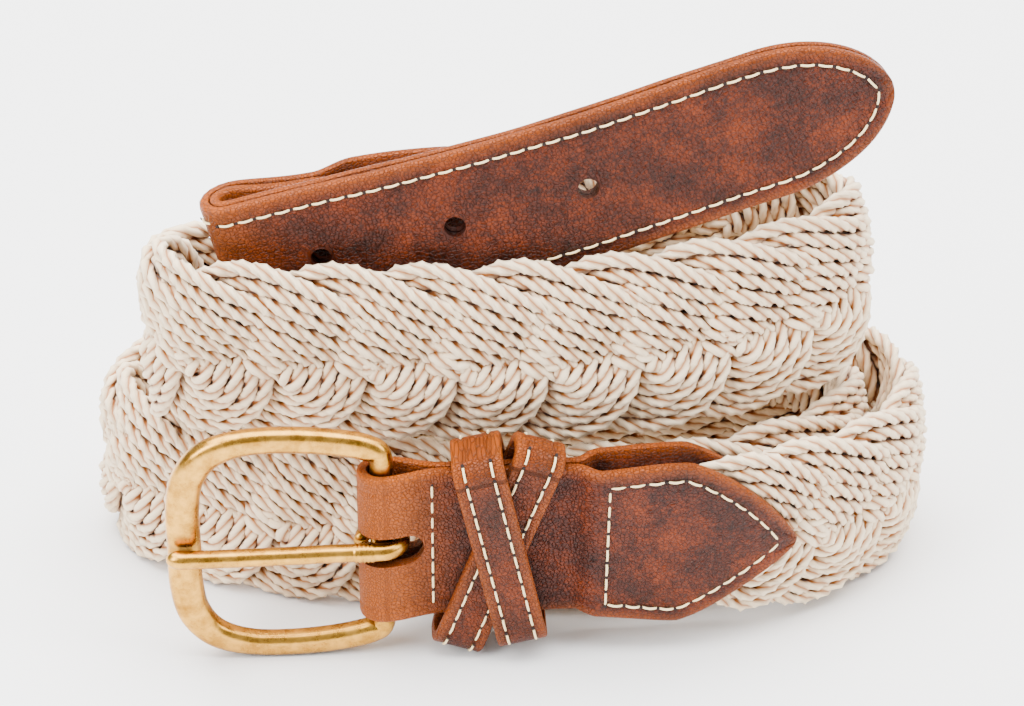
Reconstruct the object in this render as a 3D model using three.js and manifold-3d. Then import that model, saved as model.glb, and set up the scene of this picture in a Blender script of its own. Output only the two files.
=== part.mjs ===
// Rope belt, coiled as it lies on a shelf. Millimetres, +Z up, buckle to the front (-Y).
// The belt stands on its lower edge and winds inward and upward: two lower turns, one upper
// turn, then the leather tip, folded back once, which leaves the coil to the right.
import * as THREE from "three";
import { mergeVertices } from "three/addons/utils/BufferGeometryUtils.js";
import Module from "manifold-3d";

const wasm = await Module();
wasm.setup();

// Braid
const braidWidth = 38;
const braidThick = 7.5;
const plaitPeriod = 51; // length in which one strand goes across and back
const strandShare = 0.6; // width of one strand as a share of the braid's width
const plaitLean = 1 / 6; // how far the edges slide past each other, as a share of the period
const plaitRelief = 0.34; // depth of the valleys between strands, as a share of half the thickness
const braidRestFlat = 0.6; // depth of the lobes that the floor presses flat
const endThinness = 0.62; // the rope's squeeze inside the leather, as shares of its thickness and width
const endNarrowness = 0.84;
const swellStart = -6; // the rope swells between these distances from the leather's point
const swellEnd = 20;

// Leather
const leatherThick = 2;
const layerGap = 0.3;
const chapeWidth = 33;
const chapeShoulderWidth = 36;
const chapeLength = 77.5; // heel bar to point
const chapePointLength = 21.5; // shoulder to point
const chapeFlare = 19; // length over which it widens to the shoulder
const chapePocketDepth = 36; // how far the rope reaches in from the point
const tipWidth = 29;
const tipShoulderWidth = 33;
const tipBackLength = 62; // fold to the point over the rope
const tipFrontLength = 129.5; // fold to the free end
const tipPointLength = 25;
const tipPocketDepth = 34;
const leatherChamfer = 0.5;
const foldGap = 3.3; // clear space inside the folded-back tip
const barTaper = 11; // length over which the chape's two layers close behind the heel bar
const chapeRamp = 6.5; // length over which the layers part to take in the rope
const tipRamp = 8;
const rampEase = 1; // between that length and the rope's end
const tipNarrowing = 14; // length over which the tip strap narrows behind its shoulder

// Holes
const holeSpacing = 25.4;
const holeCount = 5;
const holeDiameter = 4;
const firstHoleFromTip = 59;

// Keepers
const keeperWidth = 9.6;
const keeperThick = 2;
const keeperTopGap = 1; // from the chape's top edge to the inside of the loops
const keeperBend = 1.6; // inside radius of their corners
const keeperOverTilt = 12; // degrees off upright
const keeperUnderTilt = -20;
const keeperOverAt = 22; // from the heel bar
const keeperOverLift = 3; // its lower edge hangs this far above the floor
const keeperUnderAt = 21.6;

// Buckle
const buckleHeight = 52;
const buckleReach = 40.2; // heel bar axis to the outside of the front bar
const frontBarWide = 6.4;
const frontBarDeep = 4.6;
const armWide = 5;
const armDeep = 4.2;
const barDiameter = 4.4;
const prongDiameter = 3.5;
const prongRingDiameter = 2.8; // wire of the curl round the heel bar
const slotHeight = 6.5;
const slotReach = 7.8; // heel bar axis to the end of the slot
const runningClearance = 0.3;
const restGap = 0.35;

// Coil
const coilLength = 160;
const coilDepth = 66;
const runGap = 0.8; // between one run of the braid and the next
const levelGap = 1.5; // between the lower turns and the upper turn
const coilMiddle = 6.5;

const chapeThick = 2 * leatherThick + layerGap;
const keeperStack = 2 * (keeperThick + runningClearance);
const runSpacing = chapeThick / 2 + keeperStack + braidThick / 2 + runGap;
const foldSpacing = chapeThick + foldGap;
const standing = braidWidth / 2 - braidRestFlat; // height of the braid's middle line on the floor

// Route of the belt's middle line, a row for each bend or straight. across and deep are shares of
// half the coil's length and depth, less inward runs; fold adds that share of the folded tip's
// width; level counts turns upward; lift raises the belt to the middle of the buckle; lean tips
// the top edge outward, in degrees.
const routeRows = [
  { across: -0.77, deep: -1.13, lift: 1 },
  { across: -0.546, deep: -1.1, lift: 1 },
  { across: -0.32, deep: -1.07, lift: 1 },
  { across: 0.0, deep: -1.03, lift: 1 },
  { across: 0.26, deep: -0.99, lift: 0.98 },
  { across: 0.49, deep: -0.94, lift: 0.85 },
  { across: 0.68, deep: -0.8, lift: 0.5 },
  { across: 0.83, deep: -0.5, lift: 0.2 },
  { across: 0.94, deep: -0.17, lift: 0.04 },
  { across: 0.98, deep: 0.17 },
  { across: 0.93, deep: 0.53 },
  { across: 0.77, deep: 0.83 },
  { across: 0.51, deep: 0.97 },
  { across: 0.18, deep: 1.0 },
  { across: -0.18, deep: 0.99 },
  { across: -0.51, deep: 0.94 },
  { across: -0.74, deep: 0.82 },
  { across: -0.9, deep: 0.53 },
  { across: -1.0, deep: 0.17, lean: -3 },
  { across: -0.95, deep: -0.15, inward: 0.3, lean: -8 },
  { across: -0.78, deep: -0.5, inward: 0.6, lean: -10 },
  { across: -0.5, deep: -0.84, inward: 0.9, lean: -8 },
  { across: -0.18, deep: -0.97, inward: 1, lean: -3 },
  { across: 0.15, deep: -1.0, inward: 1 },
  { across: 0.45, deep: -0.96, inward: 1 },
  { across: 0.69, deep: -0.72, inward: 1 },
  { across: 0.87, deep: -0.35, inward: 1 },
  { across: 0.97, deep: 0.07, inward: 1 },
  { across: 0.96, deep: 0.53, inward: 1 },
  { across: 0.81, deep: 0.9, inward: 0.95 },
  { across: 0.52, deep: 1.0, inward: 0.9, level: 0.04 },
  { across: 0.2, deep: 0.97, inward: 0.9, level: 0.15 },
  { across: -0.15, deep: 0.8, inward: 0.9, level: 0.31 },
  { across: -0.47, deep: 0.55, inward: 0.9, level: 0.51 },
  { across: -0.73, deep: 0.29, inward: 0.9, level: 0.72 },
  { across: -0.92, deep: -0.02, inward: 0.97, level: 0.91 },
  { across: -0.99, deep: -0.49, inward: 1, level: 1.0 },
  { across: -0.895, deep: -0.85, inward: 1, level: 1.0 },
  { across: -0.66, deep: -0.93, inward: 1, level: 1.0 },
  { across: -0.36, deep: -0.94, inward: 1, level: 1.0, lean: -2 },
  { across: -0.06, deep: -0.94, inward: 1, level: 1.0, lean: -3 },
  { across: 0.21, deep: -0.89, inward: 1, level: 1.0, lean: -5 },
  { across: 0.48, deep: -0.72, inward: 1, level: 1.01, lean: -7 },
  { across: 0.71, deep: -0.45, inward: 1, level: 1.03, lean: -7 },
  { across: 0.87, deep: -0.14, inward: 1, level: 1.04, lean: -6 },
  { across: 0.97, deep: 0.21, inward: 1, level: 1.05, lean: -4 },
  { across: 0.93, deep: 0.6, inward: 1, level: 1.05 },
  { across: 0.72, deep: 0.74, inward: 1, level: 1.07 },
  { across: 0.42, deep: 0.6, inward: 1, level: 1.15 },
  { across: 0.15, deep: 0.35, inward: 1, level: 1.27 },
  { across: -0.12, deep: 0.07, inward: 1, level: 1.385 },
  { across: -0.36, deep: -0.74, inward: 1.72, fold: 1, level: 1.43 },
  { across: -0.62, deep: -0.93, inward: 1.72, fold: 1, level: 1.36 },
  { across: -0.79, deep: -0.93, inward: 1.72, fold: 1, level: 1.33, lean: 2 },
  { across: -0.85, deep: -0.93, inward: 1.72, fold: 0.86, level: 1.322, lean: 11 },
  { across: -0.871, deep: -0.93, inward: 1.72, fold: 0.5, level: 1.32, lean: 16 },
  { across: -0.85, deep: -0.93, inward: 1.72, fold: 0.14, level: 1.33, lean: 11 },
  { across: -0.79, deep: -0.93, inward: 1.72, level: 1.355, lean: 1 },
  { across: -0.62, deep: -0.95, inward: 1.72, level: 1.43, lean: -2 },
  { across: -0.36, deep: -0.95, inward: 1.72, level: 1.53, lean: -5 },
  { across: -0.05, deep: -0.9, inward: 1.72, level: 1.655, lean: -7 },
  { across: 0.3, deep: -0.74, inward: 1.75, level: 1.805, lean: -7 },
  { across: 0.65, deep: -0.46, inward: 1.74, level: 1.975, lean: -7 },
  { across: 0.97, deep: -0.17, inward: 1.72, level: 2.095, lean: -6 },
  { across: 1.27, deep: 0.15, inward: 1.72, level: 2.235, lean: -5 },
  { across: 1.55, deep: 0.54, inward: 1.72, level: 2.43, lean: -5 },
];
const barRow = 2; // the heel bar stands on this row of the route
const foldRow = 55; // the tip strap folds back at this row

// A route row in millimetres: middle point and lean
function rowPoint({ across, deep, inward = 0, fold = 0, level = 0, lift = 0, lean = 0 }) {
  return {
    x: across * (coilLength / 2 - inward * runSpacing),
    y: coilMiddle + deep * (coilDepth / 2 - inward * runSpacing) + fold * foldSpacing,
    z: standing + level * (braidWidth + levelGap) + lift * (buckleHeight / 2 - standing),
    lean,
  };
}

// A uniform cubic B-spline through the rows, cut into short steps with their length along the belt
function traceRoute() {
  const stepsPerRow = 40;
  const rows = routeRows.map(rowPoint);
  const trace = [];
  let along = 0;
  for (let row = 1; row < rows.length - 2; row++) {
    for (let step = 0; step < stepsPerRow; step++) {
      const u = step / stepsPerRow;
      const v = 1 - u;
      const weights = [v ** 3, 3 * u ** 3 - 6 * u * u + 4, 3 * v ** 3 - 6 * v * v + 4, u ** 3];
      const slopes = [-(v ** 2), 3 * u * u - 4 * u, 4 * v - 3 * v * v, u * u];
      const blend = (key, w) => w.reduce((sum, value, i) => sum + value * rows[row - 1 + i][key], 0);
      const point = new THREE.Vector3(blend("x", weights), blend("y", weights), blend("z", weights));
      point.divideScalar(6);
      const tangent = new THREE.Vector3(blend("x", slopes), blend("y", slopes), blend("z", slopes));
      tangent.normalize();
      if (trace.length) along += point.distanceTo(trace[trace.length - 1].point);
      trace.push({ point, tangent, lean: blend("lean", weights) / 6, along, row: row + u });
    }
  }
  return trace;
}

const route = traceRoute();
const stationOfRow = (row) => route.find((sample) => sample.row >= row).along;
const barStation = stationOfRow(barRow);
const foldStation = stationOfRow(foldRow);

// Place on the belt: station along it, out towards the outer face, up across its width
function onBelt(station, out, up) {
  let low = 0;
  let high = route.length - 1;
  while (high - low > 1) {
    const middle = (low + high) >> 1;
    if (route[middle].along > station) high = middle;
    else low = middle;
  }
  const share = (station - route[low].along) / (route[high].along - route[low].along);
  const point = route[low].point.clone().lerp(route[high].point, share);
  const tangent = route[low].tangent.clone().lerp(route[high].tangent, share).normalize();
  const lean = THREE.MathUtils.degToRad(THREE.MathUtils.lerp(route[low].lean, route[high].lean, share));
  const outward = new THREE.Vector3(0, 0, 1);
  outward.crossVectors(tangent, outward).normalize();
  const upward = new THREE.Vector3().crossVectors(outward, tangent);
  const across = upward.clone().multiplyScalar(Math.cos(lean)).addScaledVector(outward, Math.sin(lean));
  outward.multiplyScalar(Math.cos(lean)).addScaledVector(upward, -Math.sin(lean));
  return point.addScaledVector(outward, out).addScaledVector(across, up);
}

// Stations from start to end, closer together where the belt turns sharply
function stationsAlong(start, end, longest, sharpest) {
  const turn = THREE.MathUtils.degToRad(sharpest);
  const stations = [start];
  let last = route.find((sample) => sample.along >= start);
  for (const sample of route) {
    if (sample.along <= start || sample.along >= end) continue;
    if (sample.along - last.along >= longest || sample.tangent.angleTo(last.tangent) >= turn) {
      stations.push(sample.along);
      last = sample;
    }
  }
  if (end - stations[stations.length - 1] < longest / 4) stations.pop();
  stations.push(end);
  return stations;
}

const smooth = (from, to, value) => THREE.MathUtils.smoothstep(value, from, to);

// Half width at a place in a short outline table, straight between its rows
function tableValue(table, place) {
  const next = table.findIndex((row) => row.at >= place);
  if (next < 0) return table[table.length - 1].half;
  if (next === 0) return table[0].half;
  const [low, high] = [table[next - 1], table[next]];
  return THREE.MathUtils.mapLinear(place, low.at, high.at, low.half, high.half);
}

// Closed mesh through rings of points; flipDiagonal says which way a quad is split
function loft(rings, { closed = false, flipDiagonal = () => false } = {}) {
  const size = rings[0].length;
  const points = rings.flat();
  const faces = [];
  const last = closed ? rings.length : rings.length - 1;
  for (let i = 0; i < last; i++) {
    const a = i * size;
    const b = ((i + 1) % rings.length) * size;
    for (let j = 0; j < size; j++) {
      const k = (j + 1) % size;
      if (flipDiagonal(i, j)) faces.push(a + j, a + k, b + j, a + k, b + k, b + j);
      else faces.push(a + j, b + k, b + j, a + j, a + k, b + k);
    }
  }
  if (!closed) {
    for (const [first, forward] of [[0, true], [(rings.length - 1) * size, false]]) {
      const middle = points.slice(first, first + size).reduce((sum, p) => sum.add(p), new THREE.Vector3());
      points.push(middle.divideScalar(size));
      for (let j = 0; j < size; j++) {
        const edge = [first + j, first + ((j + 1) % size)];
        if (forward) edge.reverse();
        faces.push(...edge, points.length - 1);
      }
    }
  }
  let volume = 0;
  for (let i = 0; i < faces.length; i += 3) {
    const [p, q, r] = [points[faces[i]], points[faces[i + 1]], points[faces[i + 2]]];
    volume += new THREE.Vector3().crossVectors(q, r).dot(p);
  }
  if (volume < 0) faces.reverse();
  const geometry = new THREE.BufferGeometry();
  const places = points.flatMap(({ x, y, z }) => [x, y, z]);
  geometry.setAttribute("position", new THREE.Float32BufferAttribute(places, 3));
  geometry.setIndex(faces);
  return geometry;
}

function toSolid(geometry) {
  const bare = geometry.clone();
  bare.deleteAttribute("normal");
  bare.deleteAttribute("uv");
  const merged = mergeVertices(bare, 1e-5);
  return new wasm.Manifold(new wasm.Mesh({
    numProp: 3,
    vertProperties: new Float32Array(merged.attributes.position.array),
    triVerts: new Uint32Array(merged.index.array),
  }));
}

function fromSolid(solid) {
  const { vertProperties, triVerts } = solid.getMesh();
  const geometry = new THREE.BufferGeometry();
  geometry.setAttribute("position", new THREE.Float32BufferAttribute(vertProperties, 3));
  geometry.setIndex(Array.from(triVerts));
  return geometry;
}

function cut(geometry, cutters) {
  const solid = cutters.reduce((body, cutter) => body.subtract(toSolid(cutter)), toSolid(geometry));
  return fromSolid(solid);
}

// Braid: three flat strands that cross, squeezed thinner and narrower in the leather at both ends
const braidStart = barStation + chapeLength - chapePocketDepth;
const braidEnd = foldStation - tipBackLength + tipPocketDepth;

function braidHalfThick(station) {
  const mouth = Math.min(station - (barStation + chapeLength), foldStation - tipBackLength - station);
  return (braidThick / 2) * THREE.MathUtils.lerp(endThinness, 1, smooth(swellStart, swellEnd, mouth));
}

function braidHalfWidth(station) {
  const inside = Math.min(station - braidStart, braidEnd - station);
  const narrow = THREE.MathUtils.lerp(endNarrowness, 1, smooth(0.3, 0.9, inside / chapePocketDepth));
  return (braidWidth / 2) * narrow;
}

const stationsPerPeriod = 12;
const strandHalf = (strandShare * braidWidth) / 2;
const strandSway = braidWidth / 2 - strandHalf;
const strandPhase = (station, up, strand) => {
  const halfStep = plaitPeriod / stationsPerPeriod / 2; // a lobe's crown lies between two stations
  const slid = station - braidStart + halfStep + (plaitLean * plaitPeriod * up) / (braidWidth / 2);
  return (2 * Math.PI * slid) / plaitPeriod - (2 * Math.PI * strand) / 3;
};

// Where the lobes end on the upper (+1) or lower (-1) edge, as a share of half the braid's width
function lobeShare(station, edge) {
  const sways = [0, 1, 2].map((k) => edge * Math.sin(strandPhase(station, (edge * braidWidth) / 2, k)));
  return (strandHalf + strandSway * Math.max(...sways)) / (braidWidth / 2);
}

// A strand's height comes partly from lying over the others and partly from its round back
const layerShare = 0.62;
const turnShift = 0.8; // how far an outer cord's climb lags behind, in radians

// Height of the topmost strand over the middle of the braid, from 0 to 1; face is +1 outside, -1 inside
function strandHeight(station, up, face) {
  let height = -1;
  for (let strand = 0; strand < 3; strand++) {
    const phase = strandPhase(station, up, strand);
    const slope = (strandSway * Math.cos(phase) * 2 * Math.PI) / plaitPeriod;
    const offset = (up - strandSway * Math.sin(phase)) / Math.hypot(1, slope);
    if (Math.abs(offset) > strandHalf) continue;
    const layer = -face * Math.sin(2 * phase - (turnShift * offset * Math.sin(phase)) / strandHalf);
    const crown = Math.sqrt(1 - (offset / strandHalf) ** 2);
    height = Math.max(height, layerShare * layer + (1 - layerShare) * crown);
  }
  return THREE.MathUtils.clamp(height, 0, 1);
}

const braidColumns = [-0.88, -0.52, -0.17, 0.17, 0.52, 0.88];
const edgeStart = 0.6; // the braid thins from this share of its half width, by this share at its edges
const edgeThinning = 0.45;

function braidRing(station) {
  const halfThick = braidHalfThick(station);
  const halfWidth = braidHalfWidth(station);
  const top = halfWidth * lobeShare(station, 1);
  const bottom = halfWidth * lobeShare(station, -1);
  const ring = [];
  for (const face of [1, -1]) {
    for (const column of face > 0 ? braidColumns : [...braidColumns].reverse()) {
      const up = column * (column > 0 ? top : bottom);
      const height = strandHeight(station, (up * braidWidth) / 2 / halfWidth, face);
      const edge = 1 - edgeThinning * smooth(edgeStart, 1, Math.abs(column));
      ring.push([face * halfThick * edge * (1 - plaitRelief * (1 - height)), up]);
    }
    if (face > 0) ring.push([0, top]);
    else ring.push([-0.4 * halfThick, -bottom], [0.4 * halfThick, -bottom]);
  }
  const points = ring.map(([out, up]) => onBelt(station, out, up));
  for (const point of points) point.z = Math.max(point.z, 0); // the floor presses the lobes flat
  return points;
}

function makeBraid() {
  const step = plaitPeriod / stationsPerPeriod;
  const rings = [];
  for (let station = braidStart; station < braidEnd - step / 2; station += step) {
    rings.push(braidRing(station));
  }
  rings.push(braidRing(braidEnd));
  return loft(rings, { flipDiagonal: (i, j) => j >= 3 && j < 10 });
}

// Leather strip with chamfered edges: centre places (station, out), half width at each
function leatherRings(places, thick) {
  return places.map(({ station, out, half }, i) => {
    const before = places[Math.max(i - 1, 0)];
    const after = places[Math.min(i + 1, places.length - 1)];
    const run = Math.hypot(after.station - before.station, after.out - before.out);
    const [nx, ny] = [-(after.out - before.out) / run, (after.station - before.station) / run];
    const corner = Math.min(leatherChamfer, half / 3);
    const outline = [
      [half - corner, thick / 2], [half, thick / 2 - corner], [half, corner - thick / 2],
      [half - corner, -thick / 2], [corner - half, -thick / 2], [-half, corner - thick / 2],
      [-half, thick / 2 - corner], [corner - half, thick / 2],
    ];
    return outline.map(([up, off]) => onBelt(station + nx * off, out + ny * off, up));
  });
}

// Outline of the pointed end that lies over the rope, by distance from the point
const pointOutline = [
  { at: 0, half: 0.05 }, { at: 0.03, half: 0.12 }, { at: 0.1, half: 0.2 }, { at: 0.95, half: 0.97 },
  { at: 1, half: 1 },
];

// Half the clear space between the two layers, wide enough for the rope's squeezed end
const pocketHalf = (station) => braidHalfThick(station) + restGap;

function chapeHalfWidth(along) {
  const fromPoint = chapeLength - along;
  if (fromPoint <= chapePointLength) {
    return (chapeShoulderWidth / 2) * tableValue(pointOutline, fromPoint / chapePointLength);
  }
  const rise = 1 - smooth(chapePointLength, chapePointLength + chapeFlare, fromPoint);
  return THREE.MathUtils.lerp(chapeWidth, chapeShoulderWidth, rise) / 2;
}

function makeChape() {
  const grip = barDiameter / 2 + runningClearance;
  const pocketStart = chapeLength - chapePocketDepth;
  const clearHalf = (along) => {
    const byBar = THREE.MathUtils.lerp(grip, layerGap / 2, smooth(0, barTaper, along));
    const parting = smooth(pocketStart - rampEase - chapeRamp, pocketStart - rampEase, along);
    const pocket = pocketHalf(barStation + along) * parting;
    return Math.max(byBar, pocket);
  };
  const runs = [0.5];
  for (let along = 2.5; along < barTaper; along += 2) runs.push(along);
  for (let along = barTaper; along < pocketStart - rampEase - chapeRamp; along += 4) runs.push(along);
  for (let along = pocketStart - rampEase - chapeRamp; along < chapeLength - chapePointLength; along += 3) {
    runs.push(along);
  }
  for (const { at } of [...pointOutline, { at: 0.5 }]) runs.push(chapeLength - at * chapePointLength);
  runs.sort((a, b) => a - b);
  const side = (face) => runs.map((along) => ({
    station: barStation + along,
    out: face * (clearHalf(along) + leatherThick / 2),
    half: chapeHalfWidth(along),
  }));
  const bend = [];
  const radius = grip + leatherThick / 2;
  for (let angle = 15; angle < 180; angle += 15) {
    const turn = THREE.MathUtils.degToRad(angle);
    bend.push({
      station: barStation - radius * Math.sin(turn),
      out: -radius * Math.cos(turn),
      half: chapeWidth / 2,
    });
  }
  const strip = loft(leatherRings([...side(-1).reverse(), ...bend, ...side(1)], leatherThick));
  const slotLength = slotReach + radius + leatherThick;
  const slot = new THREE.BoxGeometry(slotLength, 6 * radius, slotHeight);
  const middle = onBelt(barStation + slotReach - slotLength / 2, 0, 0);
  slot.translate(middle.x, middle.y, middle.z);
  return cut(strip, [slot]);
}

// Outline of the free end, by distance from its point
const tipEndLength = 24;
const tipEndOutline = [
  { at: 0, half: 0.08 }, { at: 0.04, half: 0.24 }, { at: 0.13, half: 0.46 }, { at: 0.29, half: 0.69 },
  { at: 0.49, half: 0.89 }, { at: 0.7, half: 0.975 }, { at: 1, half: 1 },
];

const tipStart = foldStation - tipBackLength;
const tipEnd = foldStation + tipFrontLength;

function tipHalfWidth(station) {
  const fromPoint = station - tipStart;
  const fromEnd = tipEnd - station;
  if (fromEnd < tipEndLength) return (tipWidth / 2) * tableValue(tipEndOutline, fromEnd / tipEndLength);
  if (fromPoint < tipPointLength) {
    return (tipShoulderWidth / 2) * tableValue(pointOutline, fromPoint / tipPointLength);
  }
  const narrowed = smooth(tipPointLength, tipPointLength + tipNarrowing, fromPoint);
  return THREE.MathUtils.lerp(tipShoulderWidth, tipWidth, narrowed) / 2;
}

const tipStationStep = 6; // longest step between two rings of the tip strap
const tipStationTurn = 14; // most that it turns from one ring to the next, in degrees

function makeTipLayer(face) {
  const stations = [
    ...pointOutline.slice(0, 4).map(({ at }) => tipStart + at * tipPointLength),
    ...stationsAlong(tipStart + tipPointLength, tipEnd - tipEndLength, tipStationStep, tipStationTurn),
    ...tipEndOutline.slice(0, 6).reverse().map(({ at }) => tipEnd - at * tipEndLength),
  ];
  const pocketEnd = tipStart + tipPocketDepth;
  const places = stations.map((station) => {
    const closing = smooth(pocketEnd + rampEase, pocketEnd + rampEase + tipRamp, station);
    const pocket = pocketHalf(station) * (1 - closing);
    return {
      station,
      out: face * (Math.max(pocket, layerGap / 2) + leatherThick / 2),
      half: tipHalfWidth(station),
    };
  });
  const punchPast = 0.5; // the punch reaches past both faces
  const holes = [];
  for (let i = 0; i < holeCount; i++) {
    const station = tipEnd - firstHoleFromTip - i * holeSpacing;
    const inner = onBelt(station, -chapeThick / 2 - punchPast, 0);
    const outer = onBelt(station, chapeThick / 2 + punchPast, 0);
    const deep = inner.distanceTo(outer);
    const punch = new THREE.CylinderGeometry(holeDiameter / 2, holeDiameter / 2, deep, 12);
    const along = new THREE.Vector3().subVectors(outer, inner).normalize();
    punch.applyQuaternion(new THREE.Quaternion().setFromUnitVectors(new THREE.Vector3(0, 1, 0), along));
    const middle = inner.add(outer).divideScalar(2);
    punch.translate(middle.x, middle.y, middle.z);
    holes.push(punch);
  }
  return cut(loft(leatherRings(places, leatherThick), { flipDiagonal: (i, j) => j === 7 }), holes);
}

// Section outlines as shares of half the width in the plane of the path and half the depth across it
const roundSection = (sides) => Array.from({ length: sides }, (_, i) => {
  const angle = (2 * Math.PI * (i + 0.5)) / sides;
  return () => [Math.cos(angle), Math.sin(angle)];
});
const stripSection = [
  [1, 1, -1, 0], [1, 1, 0, -1], [1, -1, 0, 1], [1, -1, -1, 0],
  [-1, -1, 1, 0], [-1, -1, 0, 1], [-1, 1, 0, -1], [-1, 1, 1, 0],
].map(([side, face, inSide, inFace]) => ({ wide, deep }) => [
  side + (inSide * 2 * leatherChamfer) / wide,
  face + (inFace * 2 * leatherChamfer) / deep,
]);

// Rings of a section carried along a path that lies flat in the plane with this normal
function sweepFlat(path, normal, section, closed) {
  return path.map(({ at, wide, deep }, i) => {
    const count = path.length;
    const before = closed ? path[(i + count - 1) % count] : path[Math.max(i - 1, 0)];
    const after = closed ? path[(i + 1) % count] : path[Math.min(i + 1, count - 1)];
    const side = new THREE.Vector3().subVectors(after.at, before.at).cross(normal).normalize();
    return section.map((corner) => {
      const [across, face] = corner({ wide, deep });
      const moved = at.clone().addScaledVector(side, (across * wide) / 2);
      return moved.addScaledVector(normal, (face * deep) / 2);
    });
  });
}

// Keeper: a leaning loop that just clears the chape's top edge; lift is its height off the floor
function makeKeeper({ along, tiltDegrees, layersInside, lift }) {
  const tilt = THREE.MathUtils.degToRad(tiltDegrees);
  const floor = onBelt(barStation + along, 0, 0).z;
  const innerHalf = chapeThick / 2 + runningClearance + layersInside * (keeperThick + runningClearance);
  const innerTall = ((floor + chapeWidth / 2 + keeperTopGap - lift) / Math.cos(tilt) - keeperThick) / 2;
  const cornerDrop = (keeperWidth / 2) * Math.abs(Math.sin(tilt));
  const stand = lift + (innerTall + keeperThick) * Math.cos(tilt) + cornerDrop;
  const path = [];
  const bendSteps = 4;
  const bend = keeperBend + keeperThick / 2;
  [[1, 1], [-1, 1], [-1, -1], [1, -1]].forEach(([out, up], corner) => {
    for (let step = 0; step <= bendSteps; step++) {
      const angle = ((corner + step / bendSteps) * Math.PI) / 2;
      const y = out * (innerHalf - keeperBend) + bend * Math.cos(angle);
      const z = up * (innerTall - keeperBend) + bend * Math.sin(angle);
      path.push({ at: new THREE.Vector3(0, y, z), wide: keeperThick, deep: keeperWidth });
    }
  });
  const rings = sweepFlat(path, new THREE.Vector3(1, 0, 0), stripSection, true);
  const lean = ({ x, y, z }) => onBelt(
    barStation + along + x * Math.cos(tilt) - z * Math.sin(tilt),
    y,
    x * Math.sin(tilt) + z * Math.cos(tilt) + stand - floor,
  );
  return loft(rings.map((ring) => ring.map(lean)), { closed: true });
}

// Buckle: upper half of the frame's middle line from the front bar round to the heel bar, as shares
// of the reach and of half the height, with the casting's width and depth there
const buckleRows = [
  { reach: 1, rise: 0, wide: frontBarWide, deep: frontBarDeep },
  { reach: 1, rise: 0.36, wide: frontBarWide, deep: frontBarDeep },
  { reach: 0.965, rise: 0.66, wide: frontBarWide * 0.97, deep: frontBarDeep },
  { reach: 0.86, rise: 0.88, wide: (frontBarWide + armWide) / 2, deep: (frontBarDeep + armDeep) / 2 },
  { reach: 0.68, rise: 0.985, wide: armWide, deep: armDeep },
  { reach: 0.45, rise: 1, wide: armWide, deep: armDeep },
  { reach: 0.23, rise: 0.965, wide: armWide, deep: armDeep },
  { reach: 0.07, rise: 0.905, wide: armWide, deep: armDeep },
  { reach: 0.0, rise: 0.82, wide: barDiameter, deep: barDiameter },
  { reach: 0.0, rise: 0.5, wide: barDiameter, deep: barDiameter },
];

// The buckle and prong are rigid: their frame is the belt's direction at the heel bar
const barMiddle = onBelt(barStation, 0, 0);
const alongBar = onBelt(barStation + 1, 0, 0).sub(onBelt(barStation - 1, 0, 0)).setZ(0).normalize();
const outOfBar = new THREE.Vector3(alongBar.y, -alongBar.x, 0);
const fromBar = ({ x, y, z }) => barMiddle.clone().addScaledVector(alongBar, x)
  .addScaledVector(outOfBar, y).setZ(buckleHeight / 2 + z);

function makeBuckleFrame() {
  const reach = buckleReach - frontBarWide / 2;
  const rise = (buckleHeight - armWide) / 2;
  const lower = buckleRows.slice(1).reverse().map((row) => ({ ...row, rise: -row.rise }));
  const loop = [...buckleRows, ...lower];
  const line = new THREE.CatmullRomCurve3(
    loop.map((row) => new THREE.Vector3(-row.reach * reach, 0, row.rise * rise)), true, "catmullrom", 0.5);
  const sizes = new THREE.CatmullRomCurve3(
    loop.map((row) => new THREE.Vector3(row.wide, row.deep, 0)), true, "catmullrom", 0.5);
  const steps = 3 * loop.length;
  const path = [];
  for (let i = 0; i < steps; i++) {
    const size = sizes.getPoint(i / steps);
    path.push({ at: line.getPoint(i / steps), wide: size.x, deep: size.y });
  }
  const rings = sweepFlat(path, new THREE.Vector3(0, 1, 0), roundSection(10), true);
  return loft(rings.map((ring) => ring.map(fromBar)), { closed: true });
}

// Prong: a rod over the front bar, its heel curled round the heel bar. sink is a share of its diameter,
// towards the bar it rests on.
function makeProng() {
  const ring = (barDiameter + prongRingDiameter) / 2 + runningClearance;
  const seat = (frontBarDeep + prongDiameter) / 2 + runningClearance;
  const reach = buckleReach - frontBarWide / 2;
  const rod = [
    { x: -reach - 0.42 * frontBarWide, out: seat, sink: 0.26, thick: 0.55 },
    { x: -reach - 0.36 * frontBarWide, out: seat, sink: 0.16, thick: 0.85 },
    { x: -reach - 0.2 * frontBarWide, out: seat, sink: 0.01, thick: 1 },
    { x: -reach + 0.3 * frontBarWide, out: seat, sink: -0.03, thick: 1 },
    { x: -0.66 * reach, out: seat, sink: 0, thick: 1 },
    { x: -0.42 * reach, out: (seat + ring) / 2, sink: 0, thick: 1 },
    { x: -0.22 * reach, out: ring, sink: 0, thick: 1 },
    { x: -0.1 * reach, out: ring, sink: 0, thick: 0.92 },
  ];
  const path = rod.map(({ x, out, sink, thick }) => ({
    at: new THREE.Vector3(x, out - sink * prongDiameter, 0),
    wide: thick * prongDiameter,
    deep: thick * prongDiameter,
  }));
  const curlTurn = 280;
  for (let angle = 0; angle <= curlTurn; angle += 20) {
    const turn = THREE.MathUtils.degToRad(angle);
    const at = new THREE.Vector3(ring * Math.sin(turn), ring * Math.cos(turn), 0);
    path.push({ at, wide: prongRingDiameter, deep: prongDiameter });
  }
  const rings = sweepFlat(path, new THREE.Vector3(0, 0, 1), roundSection(8), false);
  return loft(rings.map((ring) => ring.map(fromBar)));
}

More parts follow.
